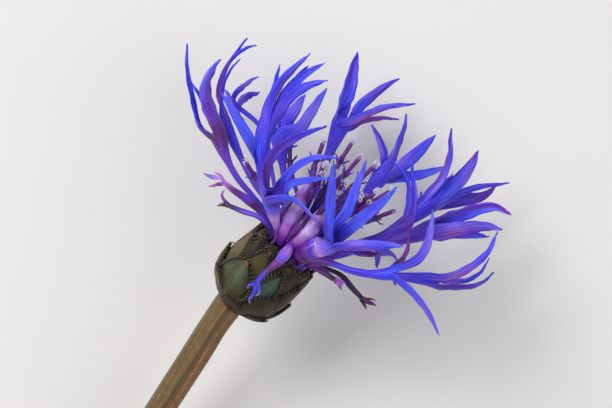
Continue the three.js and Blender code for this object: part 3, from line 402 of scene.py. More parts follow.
        lobe(2.2, 0, "purple violet blue", (1, 11.6, -22.6), (2.8, 14, -24.8), (4.2, 16.6, -25.6)),
        lobe(2, 0, "purple violet blue", (-3.4, 10.6, -22.2), (-6.2, 12, -24.6), (-8.8, 12.8, -25.6)),
        lobe(1.9, 0, "purple violet blue", (0.6, 8.6, -22.4), (2.2, 7.8, -24.8), (4.2, 7.4, -25.8)),
    ),
    "under_right": floret(
        297, (0.5, 0.55, 1), "pale purple violet",
        [(5.6, 5.8, -9), (8.8, 9.6, -13.2), (11, 12.2, -16)],
        lobe(2.2, 0, "purple violet blue", (13, 13.2, -19.4), (14.8, 13.6, -23), (16.6, 13.4, -26.2)),
        lobe(2.1, 0, "purple violet blue", (12.2, 14.4, -18.4), (13.6, 16.4, -21), (15.4, 18.4, -23)),
        lobe(2, 0, "purple violet blue", (12.2, 11.2, -19.2), (13.6, 9.9, -22.4), (14.6, 9.2, -25)),
    ),
}
BENT_FLORETS = {
    "front": floret(
        96, (0.75, 1.15, 0.72, 0.5, 0.48),
        # The pale and lilac stops, where the tube swells into its bulb, are a painted highlight on the
        # bulb.
        "magenta purple maroon purple pale lilac magenta maroon purple violet",
        [(-0.2, 0.2, 6.3), (0.3, -1.2, 7.7), (0.5, -3.6, 8.8), (0.3, -6.2, 9.2), (0.5, -8.5, 8.9)],
        lobe(0.66, 0, "violet blue pale", (0.4, -9.6, 8.7), (-0.1, -10.4, 8.5), (0.3, -10.9, 8.1)),
        lobe(0.72, 0, "violet blue pale", (1.1, -9.9, 8.7), (1.7, -11, 8.4), (1.9, -12.1, 7.8),
             (2.7, -12.7, 7.4)),
        lobe(0.62, 20, "purple violet pale", (1.5, -9.4, 9.1), (2.3, -10, 9.3), (2.2, -10.9, 9.1)),
    ),
    "left": floret(
        177, (0.6, 0.9, 0.65, 0.5), "maroon magenta purple maroon mauve maroon pale",
        [(-7.2, 0.3, 0.9), (-10, 0.5, 1.6), (-12.6, 0.1, 2), (-15.2, -0.5, 2.2), (-17.2, -0.8, 2.2)],
        lobe(1, 0, "lilac white lilac tan", (-18.6, -0.9, 2.1), (-19.6, -1.7, 2.4), (-21.3, -2.5, 1.4)),
        lobe(0.8, 20, "dark magenta pink tan", (-18, -2, 2.4), (-18.4, -2.8, 2.8), (-18.8, -3.4, 2.4)),
        lobe(0.6, 0, "dark pale white", (-18.8, -0.4, 1.4), (-20.2, -0.8, 0.8)),
    ),
    "lower_left": floret(
        148, (0.45, 0.55, 0.42), "maroon purple lilac dark",
        [(-6.6, -0.3, 4), (-8.4, -0.5, 4.7), (-11.2, -2, 5.4), (-13.4, -3, 5.6)],
        lobe(0.7, 0, "dark magenta pink", (-14.9, -3, 5.4), (-15.9, -2.6, 5.2), (-16.3, -1.6, 4.8)),
        lobe(0.9, 0, "dark umber tan", (-14.3, -3.6, 6), (-15, -4.7, 6)),
    ),
    "right": floret(
        24, (0.45, 0.6, 0.5), "purple lilac magenta maroon dark",
        [(6.6, 0.9, 3), (8.2, 1.5, 3.8), (9.9, 1.9, 4.2)],
        lobe(1, 0, "maroon pink maroon", (11.2, 2, 4.2), (12.4, 1.6, 3.8)),
        lobe(0.9, 20, "maroon pink lilac", (10.9, 2.5, 4.7), (12.1, 2.9, 5.2)),
        lobe(0.5, 0, "maroon pink pale", (10.6, 2.2, 4), (11.6, 2.3, 3.9), (12.2, 2.4, 4.4)),
    ),
    "lower_right": floret(
        341, (0.45, 0.6, 0.45), "magenta dark dark",
        [(7.6, 2.2, -2.2), (10.6, 3.4, -2.4), (13.4, 3.3, -2), (16, 3.3, -1.6)],
        lobe(1.1, 0, "dark maroon maroon", (17.4, 3.6, -1.4), (19.2, 4.4, -1)),
        lobe(0.9, 0, "dark dark maroon", (17, 3, -2.2), (18.4, 2.6, -2.8)),
        lobe(0.5, 0, "dark umber magenta", (16.6, 3.6, -1.2), (17.8, 4.6, -1.4), (18.6, 5, -2)),
    ),
}


# ---- Numbers that a user may change ----


def colour(name, description, *screen):
    """A colour property. Its default is written as 0 to 255 on a screen and kept as linear light."""
    share = np.array(screen) / 255
    light = np.where(share <= 0.04045, share / 12.92, ((share + 0.055) / 1.055) ** 2.4)
    return FloatVectorProperty(
        name=name, description=description, default=tuple(light), subtype="COLOR", size=3, min=0, max=1
    )


def measure(name, description, default, least=0.1):
    """A length property, written in mm."""
    return FloatProperty(
        name=name, description=description, default=default * MM, min=least * MM, unit="LENGTH"
    )


class CornflowerPaints(bpy.types.PropertyGroup):
    bright: colour("Bright blue", "Sunlit ends of the ray lobes", 66, 88, 255)
    blue: colour("Blue", "Middle of the ray lobes", 50, 64, 248)
    deep: colour("Deep blue", "Roots of the front lobes", 44, 46, 212)
    violet: colour("Violet", "Where blue passes into purple", 62, 52, 236)
    mauve: colour("Mauve", "Blotches on the petals", 104, 56, 208)
    purple: colour("Purple", "Throats of the florets", 78, 42, 202)
    magenta: colour("Magenta", "Undersides of some lobes", 118, 38, 166)
    maroon: colour("Maroon", "Darkest bases and undersides", 92, 28, 108)
    dark: colour("Plum black", "Shaded florets bent over the rim", 44, 16, 58)
    lilac: colour("Lilac", "Pale lobe edges and tubes", 116, 106, 246)
    pink: colour("Pink", "Pinkish tips and tubes", 172, 102, 200)
    pale: colour("Pale lavender", "Tubes where they leave the mouth", 184, 142, 232)
    white: colour("White lavender", "Palest part of the neck", 216, 182, 242)
    tan: colour("Tan", "Withered ends", 176, 108, 78)
    pollen: colour("Pollen", "Grains on the anthers", 248, 244, 250)
    anther: colour("Anther", "Anther columns", 108, 14, 122)
    olive: colour("Olive", "Bracts", 78, 67, 36)
    moss: colour("Moss", "Greener bracts", 56, 66, 42)
    teal: colour("Teal", "Bract with a cool light on it", 40, 78, 72)
    # Real dark margins of the bracts, and painted shade: the near black of the body in the gaps between the
    # bracts and down the mouth's wall.
    bark: colour("Bract edge", "Dark comb-edged margins of the bracts", 17, 13, 11)
    umber: colour("Umber", "Brown shaded bracts", 52, 39, 21)
    straw: colour("Straw", "Yellowish bracts", 114, 96, 52)
    # Greyish, partly waxy bloom and partly painted sheen down the crowned middle of the bracts; also one
    # edge of the stem.
    bloom: colour("Bloom", "Greyish bloom down the middle of the bracts", 118, 126, 106)
    # Painted highlight on the ends of the comb teeth.
    tooth: colour("Comb tooth", "Ends of the comb teeth", 158, 144, 122)
    blush: colour("Bract tip", "Pinkish tips of the bracts", 134, 92, 76)
    stem: colour("Stem", "Stem between its streaks", 132, 102, 62)
    stem_dark: colour("Stem streaks", "Brown and purplish streaks of the stem", 88, 58, 38)
    hair: colour("Hair", "Short hairs of the stem", 206, 200, 180)
    pith: colour("Pith", "Cut end of the stem", 196, 196, 150)
    floor: colour("Floor", "Surface that the flower lies on", 226, 224, 222)


class CornflowerSizes(bpy.types.PropertyGroup):
    petal: measure("Petal thickness", "Thickness of a lobe or tube wall", 0.34)
    bract: measure("Bract thickness", "Thickness of a bract", 0.4)
    tooth: measure("Comb tooth", "Length of a tooth on a bract's edge", 1, 0)
    view_width: measure("View width", "Width that the camera takes in at the mouth's height", 115.47, 10)
    lens: FloatProperty(
        name="Lens", description="Focal length of the camera", default=300, min=50, unit="CAMERA"
    )
    hairs: IntProperty(
        name="Stem hairs", description="How many short hairs the stem carries", default=900, min=0
    )
    seed: IntProperty(name="Seed", description="Start of every random draw", default=41, min=0)


def paints():
    """The colours that a user may change."""
    return bpy.context.scene.cornflower_paints


def sizes():
    """The sizes and numbers that a user may change."""
    return bpy.context.scene.cornflower_sizes


def tint(name):
    """A named colour as red, green, blue and a full alpha."""
    return np.array([*getattr(paints(), name), 1.0])


# ---- Ways and frames ----


def unit(vectors):
    """Vectors divided by their lengths."""
    return vectors / np.maximum(np.linalg.norm(vectors, axis=-1, keepdims=True), 1e-12)


def across_to(vectors, direction):
    """Vectors less the part of each that runs along a direction, made one long."""
    return unit(vectors - direction * np.sum(vectors * direction, axis=-1, keepdims=True))


def ease(x):
    """Rises smoothly from 0 to 1: three times x squared less twice x cubed, x kept in 0 to 1."""
    x = np.clip(x, 0, 1)
    return x * x * (3 - 2 * x)


def mixed(first, second, share):
    """The first less its share plus the share of the second."""
    return first * (1 - share) + second * share


def head_point(angle, radius, height):
    """A point of the head, in mm: radius out from its axis at an angle round it (90 degrees is the
    upper side), and height along it. Angle, radius and height may be arrays."""
    angle, radius, height = np.broadcast_arrays(np.radians(angle), radius, height)
    rise = np.array([0.0, -AXIS[2], AXIS[1]])
    out = np.cos(angle)[..., None] * np.array([1.0, 0.0, 0.0]) + np.sin(angle)[..., None] * rise
    return radius[..., None] * out + height[..., None] * AXIS


WAY_STEPS = 24  # samples of a way between two of its points


def smooth_way(points):
    """A smooth curve through points, closely sampled. Each stretch is a cubic whose end slopes
    weigh the neighbouring stretches by the square roots of their lengths."""
    points = np.asarray(points, float)
    p = np.array([2 * points[0] - points[1], *points, 2 * points[-1] - points[-2]])
    gap = np.sqrt(np.linalg.norm(np.diff(p, axis=0), axis=1))[:, None]
    a, b, c, d = p[:-3], p[1:-2], p[2:-1], p[3:]
    first, middle, last = gap[:-2], gap[1:-1], gap[2:]
    leave = ((b - a) / first - (c - a) / (first + middle) + (c - b) / middle) * middle
    arrive = ((c - b) / middle - (d - b) / (middle + last) + (d - c) / last) * middle
    u = np.linspace(0, 1, WAY_STEPS, endpoint=False)[None, :, None]
    b, c, leave, arrive = (x[:, None, :] for x in (b, c, leave, arrive))
    curve = (2 * u**3 - 3 * u**2 + 1) * b + (u**3 - 2 * u**2 + u) * leave
    curve = curve + (3 * u**2 - 2 * u**3) * c + (u**3 - u**2) * arrive
    return np.vstack([curve.reshape(-1, 3), points[-1:]])


def lengths(way):
    """Distance along a way from its start to each of its points."""
    return np.concatenate([[0], np.cumsum(np.linalg.norm(np.diff(way, axis=0), axis=1))])


def places(way, shares):
    """Points of a closely sampled way at shares of its length."""
    run = lengths(way)
    return np.stack([np.interp(shares * run[-1], run, way[:, k]) for k in range(3)], axis=1)


def facing_of(way):
    """The direction that a blade's face starts from: up, or along the head's axis where the way
    itself runs up or down."""
    run = unit(np.asarray(way[-1], float) - np.asarray(way[0], float))
    return AXIS if abs(run @ UP) > STEEP else UP


def carried(way, facing):
    """The direction along a way at each of its points, and a face direction carried along it
    without twisting: at each point it loses the part of it that runs along the way."""
    along = unit(np.gradient(way, axis=0))
    face = np.empty_like(along)
    current = np.asarray(facing, float)
    for i, run in enumerate(along):
        current = unit(current - run * (current @ run))
        face[i] = current
    return along, face


def turned(along, face, angle):
    """Face directions rolled about the way by an angle at each point."""
    return face * np.cos(angle)[:, None] + np.cross(along, face) * np.sin(angle)[:, None]


def around(along, face, angle):
    """Directions out from a way, at angles round it: cosine by its face and sine by its side."""
    side = np.cross(along, face)
    return np.cos(angle)[None, :, None] * face[:, None] + np.sin(angle)[None, :, None] * side[:, None]


def gradient(names, shares):
    """Tints blended one into the next at even shares from 0 to 1, with soft steps."""
    stops = np.array([tint(name) for name in names.split()])
    place = np.clip(shares, 0, 1) * (len(stops) - 1)
    low = np.minimum(place.astype(int), len(stops) - 2)
    return mixed(stops[low], stops[low + 1], ease(place - low)[..., None])


# ---- Meshes from grids ----


def grid(points, tints, across, along):
    """One sheet: its points, rows by columns, a tint for each, and the coordinates in mm of the
    patterns that follow it, across its width and along its length."""
    rows, columns = points.shape[:2]
    across = np.broadcast_to(across, (rows, columns))
    along = np.broadcast_to(np.asarray(along, float)[:, None], (rows, columns))
    return points, np.broadcast_to(tints, (rows, columns, 4)), np.stack([across, along], axis=-1)


def grid_faces(rows, columns, start):
    """Corner numbers of a sheet's four-sided faces: each point with its neighbours in the next
    column and the next row."""
    number = start + np.arange(rows * columns).reshape(rows, columns)
    corners = [number[:-1, :-1], number[:-1, 1:], number[1:, 1:], number[1:, :-1]]
    return np.stack(corners, axis=-1).reshape(-1, 4)


def fill_mesh(name, points, faces, tints, uv):
    """A mesh from arrays of points in mm, faces, a tint and pattern coordinates for each point."""
    mesh = bpy.data.meshes.new(name)
    mesh.vertices.add(len(points))
    mesh.vertices.foreach_set("co", ((points + MOUTH) * MM).astype(np.float32).ravel())
    mesh.loops.add(faces.size)
    mesh.loops.foreach_set("vertex_index", faces.astype(np.int32).ravel())
    mesh.polygons.add(len(faces))
    starts = np.arange(0, faces.size, faces.shape[1], dtype=np.int32)
    mesh.polygons.foreach_set("loop_start", starts)
    mesh.polygons.foreach_set("use_smooth", np.ones(len(faces), dtype=bool))
    mesh.update(calc_edges=True)
    layer = mesh.uv_layers.new(name="pattern")
    layer.data.foreach_set("uv", uv[faces.ravel()].astype(np.float32).ravel())
    shade = mesh.color_attributes.new("tint", "FLOAT_COLOR", "POINT")
    shade.data.foreach_set("color", tints.astype(np.float32).ravel())
    return mesh


def sheet_mesh(name, grids):
    """A mesh from several sheets, welded where their edges meet."""
    starts = np.cumsum([0] + [points.shape[0] * points.shape[1] for points, *_ in grids])
    faces = [grid_faces(*sheet[0].shape[:2], start) for sheet, start in zip(grids, starts)]
    points, tints, uv = (
        np.vstack([part.reshape(-1, part.shape[-1]) for part in parts]) for parts in zip(*grids)
    )
    mesh = fill_mesh(name, points, np.vstack(faces), tints, uv)
    welded = bmesh.new()
    welded.from_mesh(mesh)
    bmesh.ops.remove_doubles(welded, verts=welded.verts, dist=WELD)
    flat = [face for face in welded.faces if face.calc_area() < SLIVER]
    bmesh.ops.delete(welded, geom=flat, context="FACES")
    welded.to_mesh(mesh)
    welded.free()
    return mesh


def copies_mesh(name, corners, faces, tints):
    """A mesh of many like small shapes: corners is shapes by corners by 3, faces is the corner
    numbers of one shape, and tints is one for each shape or for each of its corners."""
    count, each = corners.shape[:2]
    faces = np.asarray(faces)
    all_faces = (np.arange(count)[:, None, None] * each + faces[None]).reshape(-1, faces.shape[1])
    tints = tints[:, None, :] if tints.ndim == 2 else tints
    tints = np.broadcast_to(tints, (count, each, 4)).reshape(-1, 4)
    return fill_mesh(name, corners.reshape(-1, 3), all_faces, tints, np.zeros((count * each, 2)))


SPIKE_FACES = [(0, 1, 3), (1, 2, 3), (2, 0, 3), (0, 2, 1)]  # of three foot corners and a tip


def piece(mesh, material, replaces=(), thickness=None):
    """An object of a mesh's own name, with its finish, the body it rides on, the nodes it stands
    for and, for a thin skin, its wall."""
    thing = bpy.data.objects.new(mesh.name, mesh)
    bpy.context.scene.collection.objects.link(thing)
    mesh.materials.append(material)
    if thickness:
        wall = thing.modifiers.new("wall", "SOLIDIFY")
        wall.thickness = thickness
        wall.offset = -1
        wall.use_even_offset = False
    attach(thing, BODY)
    if replaces:
        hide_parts(*replaces)


def tube_grid(way, radii, sides, tints, facing, corrugation):
    """A round tube: at each point of its way a circle of the radius there, which swells and
    shrinks round it by a cosine wave of some ribs."""
    along, face = carried(way, facing)
    angle = np.linspace(0, 2 * math.pi, sides + 1)
    radius = radii[:, None] * (1 + corrugation * np.cos(TUBE_RIBS * angle))
    points = way[:, None] + radius[..., None] * around(along, face, angle)
    return grid(points, tints, angle * float(np.mean(radii)), lengths(way))


# ---- Florets ----

TUBE_ROWS = 24
LOBE_ROWS = 22
STRIP_COLUMNS = 9
ACROSS = np.linspace(-1, 1, STRIP_COLUMNS)  # from edge to edge of a strip or lobe
BRANCH_REACH = 1.3  # mm; a lobe that leaves nearer than this to the tube's way leaves the tube
LOBE_CUP = 0.62  # radians; half the bend of a lobe across its width
SETTLE = 0.42  # share of a lobe over which it opens from the tube's round wall into a blade
TINT_SETTLE = 0.3  # share of it over which the tube's tint gives way to its own
LOBE_WAVE = 0.1  # mm that a lobe waves along its length
EDGE_RIPPLE = 0.07  # of its width, that its edges ripple


def blade_width(share):
    """Width of a lobe at a share of its length, against its widest: it grows in a straight line
    from its root while a power of what is left of the length draws it to a point."""
    return (1 - share) ** 0.78 * (0.84 + 1.4 * share)


def bowed(centre, inward, along, half, bend):
    """A sheet with a round cross-section: at each point of a way, an arc whose half length is
    half and whose half angle is bend, hollow towards inward."""
    side = np.cross(inward, along)
    radius, angle = (half / bend)[:, None], bend[:, None] * ACROSS
    rise, across = radius * (1 - np.cos(angle)), radius * np.sin(angle)
    return centre[:, None] + rise[..., None] * inward[:, None] + across[..., None] * side[:, None]


def lobe_tints(lobe, share, start):
    """Tints down a lobe, one set on each side where it has two, starting from the tube's own."""
    own, other = (gradient(lobe[side], share)[:, None] for side in ("tints", "other"))
    tints = mixed(own, other, ease((ACROSS + 0.35) / 0.7)[None, :, None])
    tints = mixed(start, tints, ease(share / TINT_SETTLE)[:, None, None])
    return tints * (0.9 + 0.14 * ACROSS * ACROSS)[None, :, None]


def lobe_sheet(lobe, way, facing, strip, wall, start, draw):
    """A lobe from where it leaves its floret to its tip. strip holds the rows of its strip of the
    tube, and wall the tube's outward direction, radius and half angle there; both are None for a
    lobe that leaves another lobe. A lobe without a roll keeps the hollow of the tube's wall."""
    share = np.linspace(0, 1, LOBE_ROWS)
    centre = places(way, share)
    along, level = carried(centre, facing)
    free = lobe["roll"] is None
    first_roll, last_roll = (0, 0) if free else np.broadcast_to(lobe["roll"], 2)
    inward = turned(along, level, np.radians(first_roll + (last_roll - first_roll) * share))
    half = lobe["width"] / 2 * blade_width(share)
    bend = np.full(LOBE_ROWS, LOBE_CUP)
    if wall is not None:
        outward, radius, half_angle = wall
        _, hollow = carried(centre, -outward)
        settled = ease(share / SETTLE)
        if free:
            inward = hollow
        else:
            middle = LOBE_ROWS // 3
            sign = 1 if inward[middle] @ hollow[middle] >= 0 else -1
            inward = across_to(mixed(hollow, sign * inward, settled[:, None]), along)
        centre = centre - hollow * (radius * (1 - settled))[:, None]
        half = mixed(radius * half_angle, half, settled)
        half = half * np.minimum(1, ((1 - share) / 0.08 + 1e-9) ** 0.6)
        bend = mixed(half_angle, LOBE_CUP, settled)
    wave = LOBE_WAVE * np.sin(2 * math.pi * (share * (1.5 + draw.random()) + draw.random()))
    centre = centre + inward * (wave * ease(share * 3))[:, None]
    points = bowed(centre, inward, along, np.maximum(half, 1e-5), bend)
    ripple = EDGE_RIPPLE * lobe["width"] * np.sin(9 * math.pi * share + 6 * draw.random())
    ripple = (ripple[:, None] * ACROSS**3)[..., None]
    points = points + ripple * inward[:, None] * ease(share * 2.5)[:, None, None]
    points[-1] = centre[-1]
    parts = points, lobe_tints(lobe, share, start), half[:, None] * ACROSS, lengths(centre)
    if strip is None:
        return grid(*parts)
    parts = (*parts[:3], parts[3] + strip[3][-1])
    return grid(*(np.concatenate([first, rest[1:]]) for first, rest in zip(strip, parts)))


def floret_sheets(way, radii, tints, lobes, draw):
    """A floret: the round wall of its tube is shared out into equal strips, one to each lobe that
    leaves it, and past the place where it leaves each strip opens into its lobe."""
    shares = np.linspace(0, 1, TUBE_ROWS)
    axis = places(smooth_way(way), shares)
    along, face = carried(axis, facing_of(way))
    side = np.cross(along, face)
    radius = np.interp(shares, np.linspace(0, 1, len(radii)), radii)
    tube_tints = gradient(tints, shares)
    own, sheets = [], []
    for shape in lobes:
        row = TUBE_ROWS - 1
        if shape["leaves"] is not None:
            away = np.linalg.norm(axis - np.array(shape["leaves"]), axis=1)
            row = int(np.argmin(away))
            if away[row] > BRANCH_REACH:
                points = [shape["leaves"], *shape["way"]]
                branch = smooth_way(points), facing_of(points), None, None
                sheets.append(lobe_sheet(shape, *branch, gradient(shape["tints"], np.zeros(1)), draw))
                continue
        row = max(row, TUBE_ROWS // 2)
        points = [axis[row - 2], axis[row], *shape["way"]]
        curve = smooth_way(points)[WAY_STEPS:]
        aim = curve[len(curve) // 3] - axis[row]
        own.append((math.atan2(aim @ side[row], aim @ face[row]), row, curve, facing_of(points), shape))
    own.sort(key=lambda entry: entry[0])
    step = 2 * math.pi / len(own)
    lean = [heading - step * k for k, (heading, *_) in enumerate(own)]
    first = math.atan2(sum(map(math.sin, lean)), sum(map(math.cos, lean)))
    for k, (_, row, curve, facing, shape) in enumerate(own):
        rows = slice(row + 1)
        middle = first + step * k
        ring = around(along[rows], face[rows], middle + ACROSS * step / 2)
        strip = (
            axis[rows, None] + radius[rows, None, None] * ring,
            np.broadcast_to(tube_tints[rows, None], (row + 1, STRIP_COLUMNS, 4)),
            radius[rows, None] * (ACROSS * step / 2),
            lengths(axis[rows]),
        )
        wall = (math.cos(middle) * face[row] + math.sin(middle) * side[row], radius[row], step / 2)
        sheets.append(lobe_sheet(shape, curve, facing, strip, wall, tube_tints[row], draw))
    return sheets


def make_florets(table, prefix, finish, thickness, draw):
    """The florets of a table, each from its foot in the mouth, in one skin for each node."""
    for name, shape in table.items():
        foot = head_point(shape["angle"], RING_RADIUS, SEAT - MOUTH_DEPTH)
        brim = head_point(shape["angle"], RING_RADIUS, 0.2)
        radii = [FOOT_RADIUS, FOOT_RADIUS, *shape["radii"]]
        way = [foot, brim, *shape["tube"]]
        sheets = floret_sheets(way, radii, shape["tints"], shape["lobes"], draw)
        mesh = sheet_mesh(f"{prefix}_{name}_skin", sheets)
        piece(mesh, finish, [f"{prefix}_{name}"], thickness)


# ---- Disc florets ----

DISC_LOBES = 5
COLUMN_SIDES = 15
COLUMN_SAMPLES = 18
COLUMN_CORRUGATION = 0.09  # of its radius, that an anther column's ribs stand out
NECK_SIDES = 30
NECK_SAMPLES = 26
NECK_CLOSE = 0.12  # share of a neck tube's length over which its end closes
NECK_CORRUGATION = 0.05  # of its radius, that a neck tube's folds stand out
# An anther column's radii, in mm, at shares of its length.
COLUMN_SHARES = (0, 0.03, 0.3, 0.8, 0.95, 1)
COLUMN_RADII = (0.01, 0.3, 0.34, 0.42, 0.34, 0.01)
HEAP_REACH = 0.66  # mm from an anther's tip that its pollen reaches
HEAP_SINK = 0.25  # mm below the tip that the heap's middle lies


def disc_places(draw):
    """Feet and ends of the disc florets, in mm, and how much pollen each carries: the reaching
    ones, then a spiral of the rest that turns by the golden angle and keeps an even spread."""
    found = []
    for *end, full in DISC_REACHING:
        end = np.array(end, float)
        aside = unit(end - (end @ AXIS) * AXIS)
        found.append((1.9 * aside + 1.5 * AXIS, end, full))
    for i in range(DISC_COUNT):
        reach = math.sqrt((i + 0.5) / DISC_COUNT)
        angle = i * GOLDEN_ANGLE
        height = DOME_TOP - DOME_FALL * reach * reach + DOME_UNEVEN * draw.random()
        foot = head_point(angle, FOOT_SPREAD * reach, 1.2)
        found.append((foot, head_point(angle, END_SPREAD * reach, height), POLLEN_REST))
    return found


def disc_floret(foot, end, draw):
    """The tube and lobes of a disc floret, and the way of the anther column that stands in it. The
    tube rises steeply to its knee and ends at 0.7 of the floret's run, its lobes stand round it
    at even turns, a little uneven, and the column goes on from inside it to the end."""
    lean = end - foot
    out = unit(lean)
    knee = foot + 0.5 * (0.3 * lean + 0.3 * np.linalg.norm(lean) * AXIS)
    throat = foot + 0.7 * lean
    side = unit(np.cross(out, AXIS if abs(out[2]) > STEEP else UP))
    other = np.cross(out, side)
    lobes = []
    for i in range(DISC_LOBES):
        angle = (i + draw.random() * 0.4) * 2 * math.pi / DISC_LOBES
        aim = math.cos(angle) * side + math.sin(angle) * other
        way = [throat + 1.2 * out + 0.62 * aim, throat + 2.4 * out + (1.1 + draw.random()) * aim]
        lobes.append(lobe(0.7, None, "purple maroon violet", *way))
    radii = [0.42, 0.36, 0.4, 0.62]
    sheets = floret_sheets([foot, knee, throat], radii, "pale purple maroon", lobes, draw)
    return sheets, smooth_way([foot + 0.6 * lean, foot + 0.8 * lean, end])


def neck_tubes(draw):
    """Broad pale tubes packed round the feet of the disc florets: the ones on the upper side each
    have their own way, and the rest swell out of the mouth at even turns and end among the
    florets. Last come the teeth of a split tube. Each is closed by a root of what is left of its
    length."""
    tubes = list(NECK_TUBES)
    for i in range(NECK_COUNT):
        angle = NECK_FIRST + i * NECK_TURN
        reach = 6.2 + 1.6 * draw.random()
        points = [
            head_point(angle, 3.1, SEAT - MOUTH_DEPTH),
            head_point(angle, 3.9, 0.6),
            head_point(angle, 4.5 + 0.3 * draw.random(), 0.45 * reach),
            head_point(angle + 3, 4.9 + 0.6 * draw.random(), 0.8 * reach),
            head_point(angle + 5, 4.6, reach),
        ]
        tubes.append((points, NECK_RADII, NECK_LOOKS[i % len(NECK_LOOKS)]))
    first, last = np.array(FRILL_ENDS, float)
    for share in np.linspace(0, 1, FRILL_COUNT):
        root = first + (last - first) * share
        aim = np.array(FRILL_AIM) * draw.uniform(0.7, 1.2)
        tubes.append(([root, root + 0.5 * aim, root + aim], (0.2, 0.17, 0.08), "pale white white"))
    shares = np.linspace(0, 1, NECK_SAMPLES)
    sheets = []
    for points, radii, look in tubes:
        way = places(smooth_way(points), shares)
        swell = np.interp(shares, np.linspace(0, 1, len(radii)), radii)
        swell = swell * np.sqrt(np.minimum(1, (1.001 - shares) / NECK_CLOSE))
        tints = gradient(look, shares)[:, None]
        sheets.append(tube_grid(way, swell, NECK_SIDES, tints, AXIS_ACROSS, NECK_CORRUGATION))
    return sheets


def anther_columns(ways):
    """Slim ribbed tubes along the given ways, closed at both ends."""
    shares = np.linspace(0, 1, COLUMN_SAMPLES)
    radii = np.interp(shares, COLUMN_SHARES, COLUMN_RADII)
    tints = gradient("maroon anther anther anther magenta", shares)[:, None]
    sheets = []
    for way in ways:
        way = places(way, shares)
        sheets.append(tube_grid(way, radii, COLUMN_SIDES, tints, facing_of(way), COLUMN_CORRUGATION))
    return sheets


def pollen_grains(ends, draw):
    """Grains heaped round the anther tips: eight-sided beads, scattered through a ball that is
    drawn out along the anther, and pushed towards its skin by a power of a random share."""
    bead = np.array([[1, 0, 0], [-1, 0, 0], [0, 1, 0], [0, -1, 0], [0, 0, 1], [0, 0, -1]], float)
    faces = [(0, 2, 4), (2, 1, 4), (1, 3, 4), (3, 0, 4), (2, 0, 5), (1, 2, 5), (3, 1, 5), (0, 3, 5)]
    corners, tints = [], []
    for end, out, heap in ends:
        aim = unit(draw.normal(size=(heap, 3)))
        reach = HEAP_REACH * draw.random((heap, 1)) ** 0.4
        centre = end - HEAP_SINK * out + aim * reach * (1 + 0.3 * np.abs(aim @ out)[:, None])
        corners.append(centre[:, None] + bead[None] * draw.uniform(0.08, 0.15, (heap, 1, 1)))
        tints.append(np.clip(tint("pollen") * draw.uniform(0.82, 1.08, (heap, 1)), 0, 1))
    return copies_mesh("pollen", np.vstack(corners), faces, np.vstack(tints))


# ---- Involucre ----


def bud_radius(height):
    """The involucre's radius at a height: a power curve down from the belly to the foot, and a
    flatter one up from the belly to the mouth."""
    below = np.clip((BUD_BELLY - height) / (BUD_BELLY - BUD_BASE), 0, 1)
    above = np.clip((height - BUD_BELLY) / -BUD_BELLY, 0, None)
    foot = BUD_RADIUS * np.sqrt(np.maximum(0, 1 - FOOT_NARROWING * below**FOOT_POWER))
    top = BUD_RADIUS - (BUD_RADIUS - MOUTH_RADIUS - RIM_WALL) * above**SHOULDER_POWER
    return np.where(height < BUD_BELLY, foot, top)


def bud_sheet():
    """The body under the bracts: a profile turned round the head's axis, from its flat foot over its belly
    to the rim and down the mouth's wall to its floor. From its belly up it is painted near black, painted
    shade in the gaps between the bracts and in the mouth."""
    outside = np.linspace(BUD_BASE, BUD_RIM, BUD_ROWS)
    radius = np.concatenate([[0.01], bud_radius(outside), [MOUTH_RADIUS, MOUTH_RADIUS, 0.01]])
    height = np.concatenate([[BUD_BASE], outside, [BUD_RIM, -MOUTH_DEPTH, -MOUTH_DEPTH]])
    angle = np.linspace(360, 0, BUD_SIDES + 1)
    points = head_point(angle[None], radius[:, None], height[:, None])
    # Painted shade: near black from the belly up, where the body shows only in the dark gaps between the
    # bracts and down the mouth's wall.
    tints = gradient("umber olive bark bark bark bark", np.linspace(0, 1, len(radius)))[:, None]
    return grid(points, tints, np.radians(angle) * BUD_RADIUS, height)


def scale_half(bract, u):
    """Half the angle that a bract takes up at a share of its length: broadest low down, narrowing
    to its tip by a power of what is left of the length."""
    return bract[2] * np.clip(1 - u, 0, 1) ** 0.85 * (0.88 + 1.25 * np.clip(u, 0, 1))


def scale_place(bract, long, u, v):
    """A point of a bract: u runs up its length and v across it from edge to edge. It rises from
    under its neighbours, is crowned across, and stands off a little at its tip."""
    up = np.clip(u, 0, 1)
    height = bract[1] + TIP_OVER - long * (1 - u)
    rise = -SCALE_SUNK + SCALE_RISE * up**0.6 + TIP_STAND * up**4
    radius = bud_radius(height) + rise + BRACT_CROWN * (1 - v * v) * ease(u * 2)
    return head_point(bract[0] - v * scale_half(bract, u), radius, height)


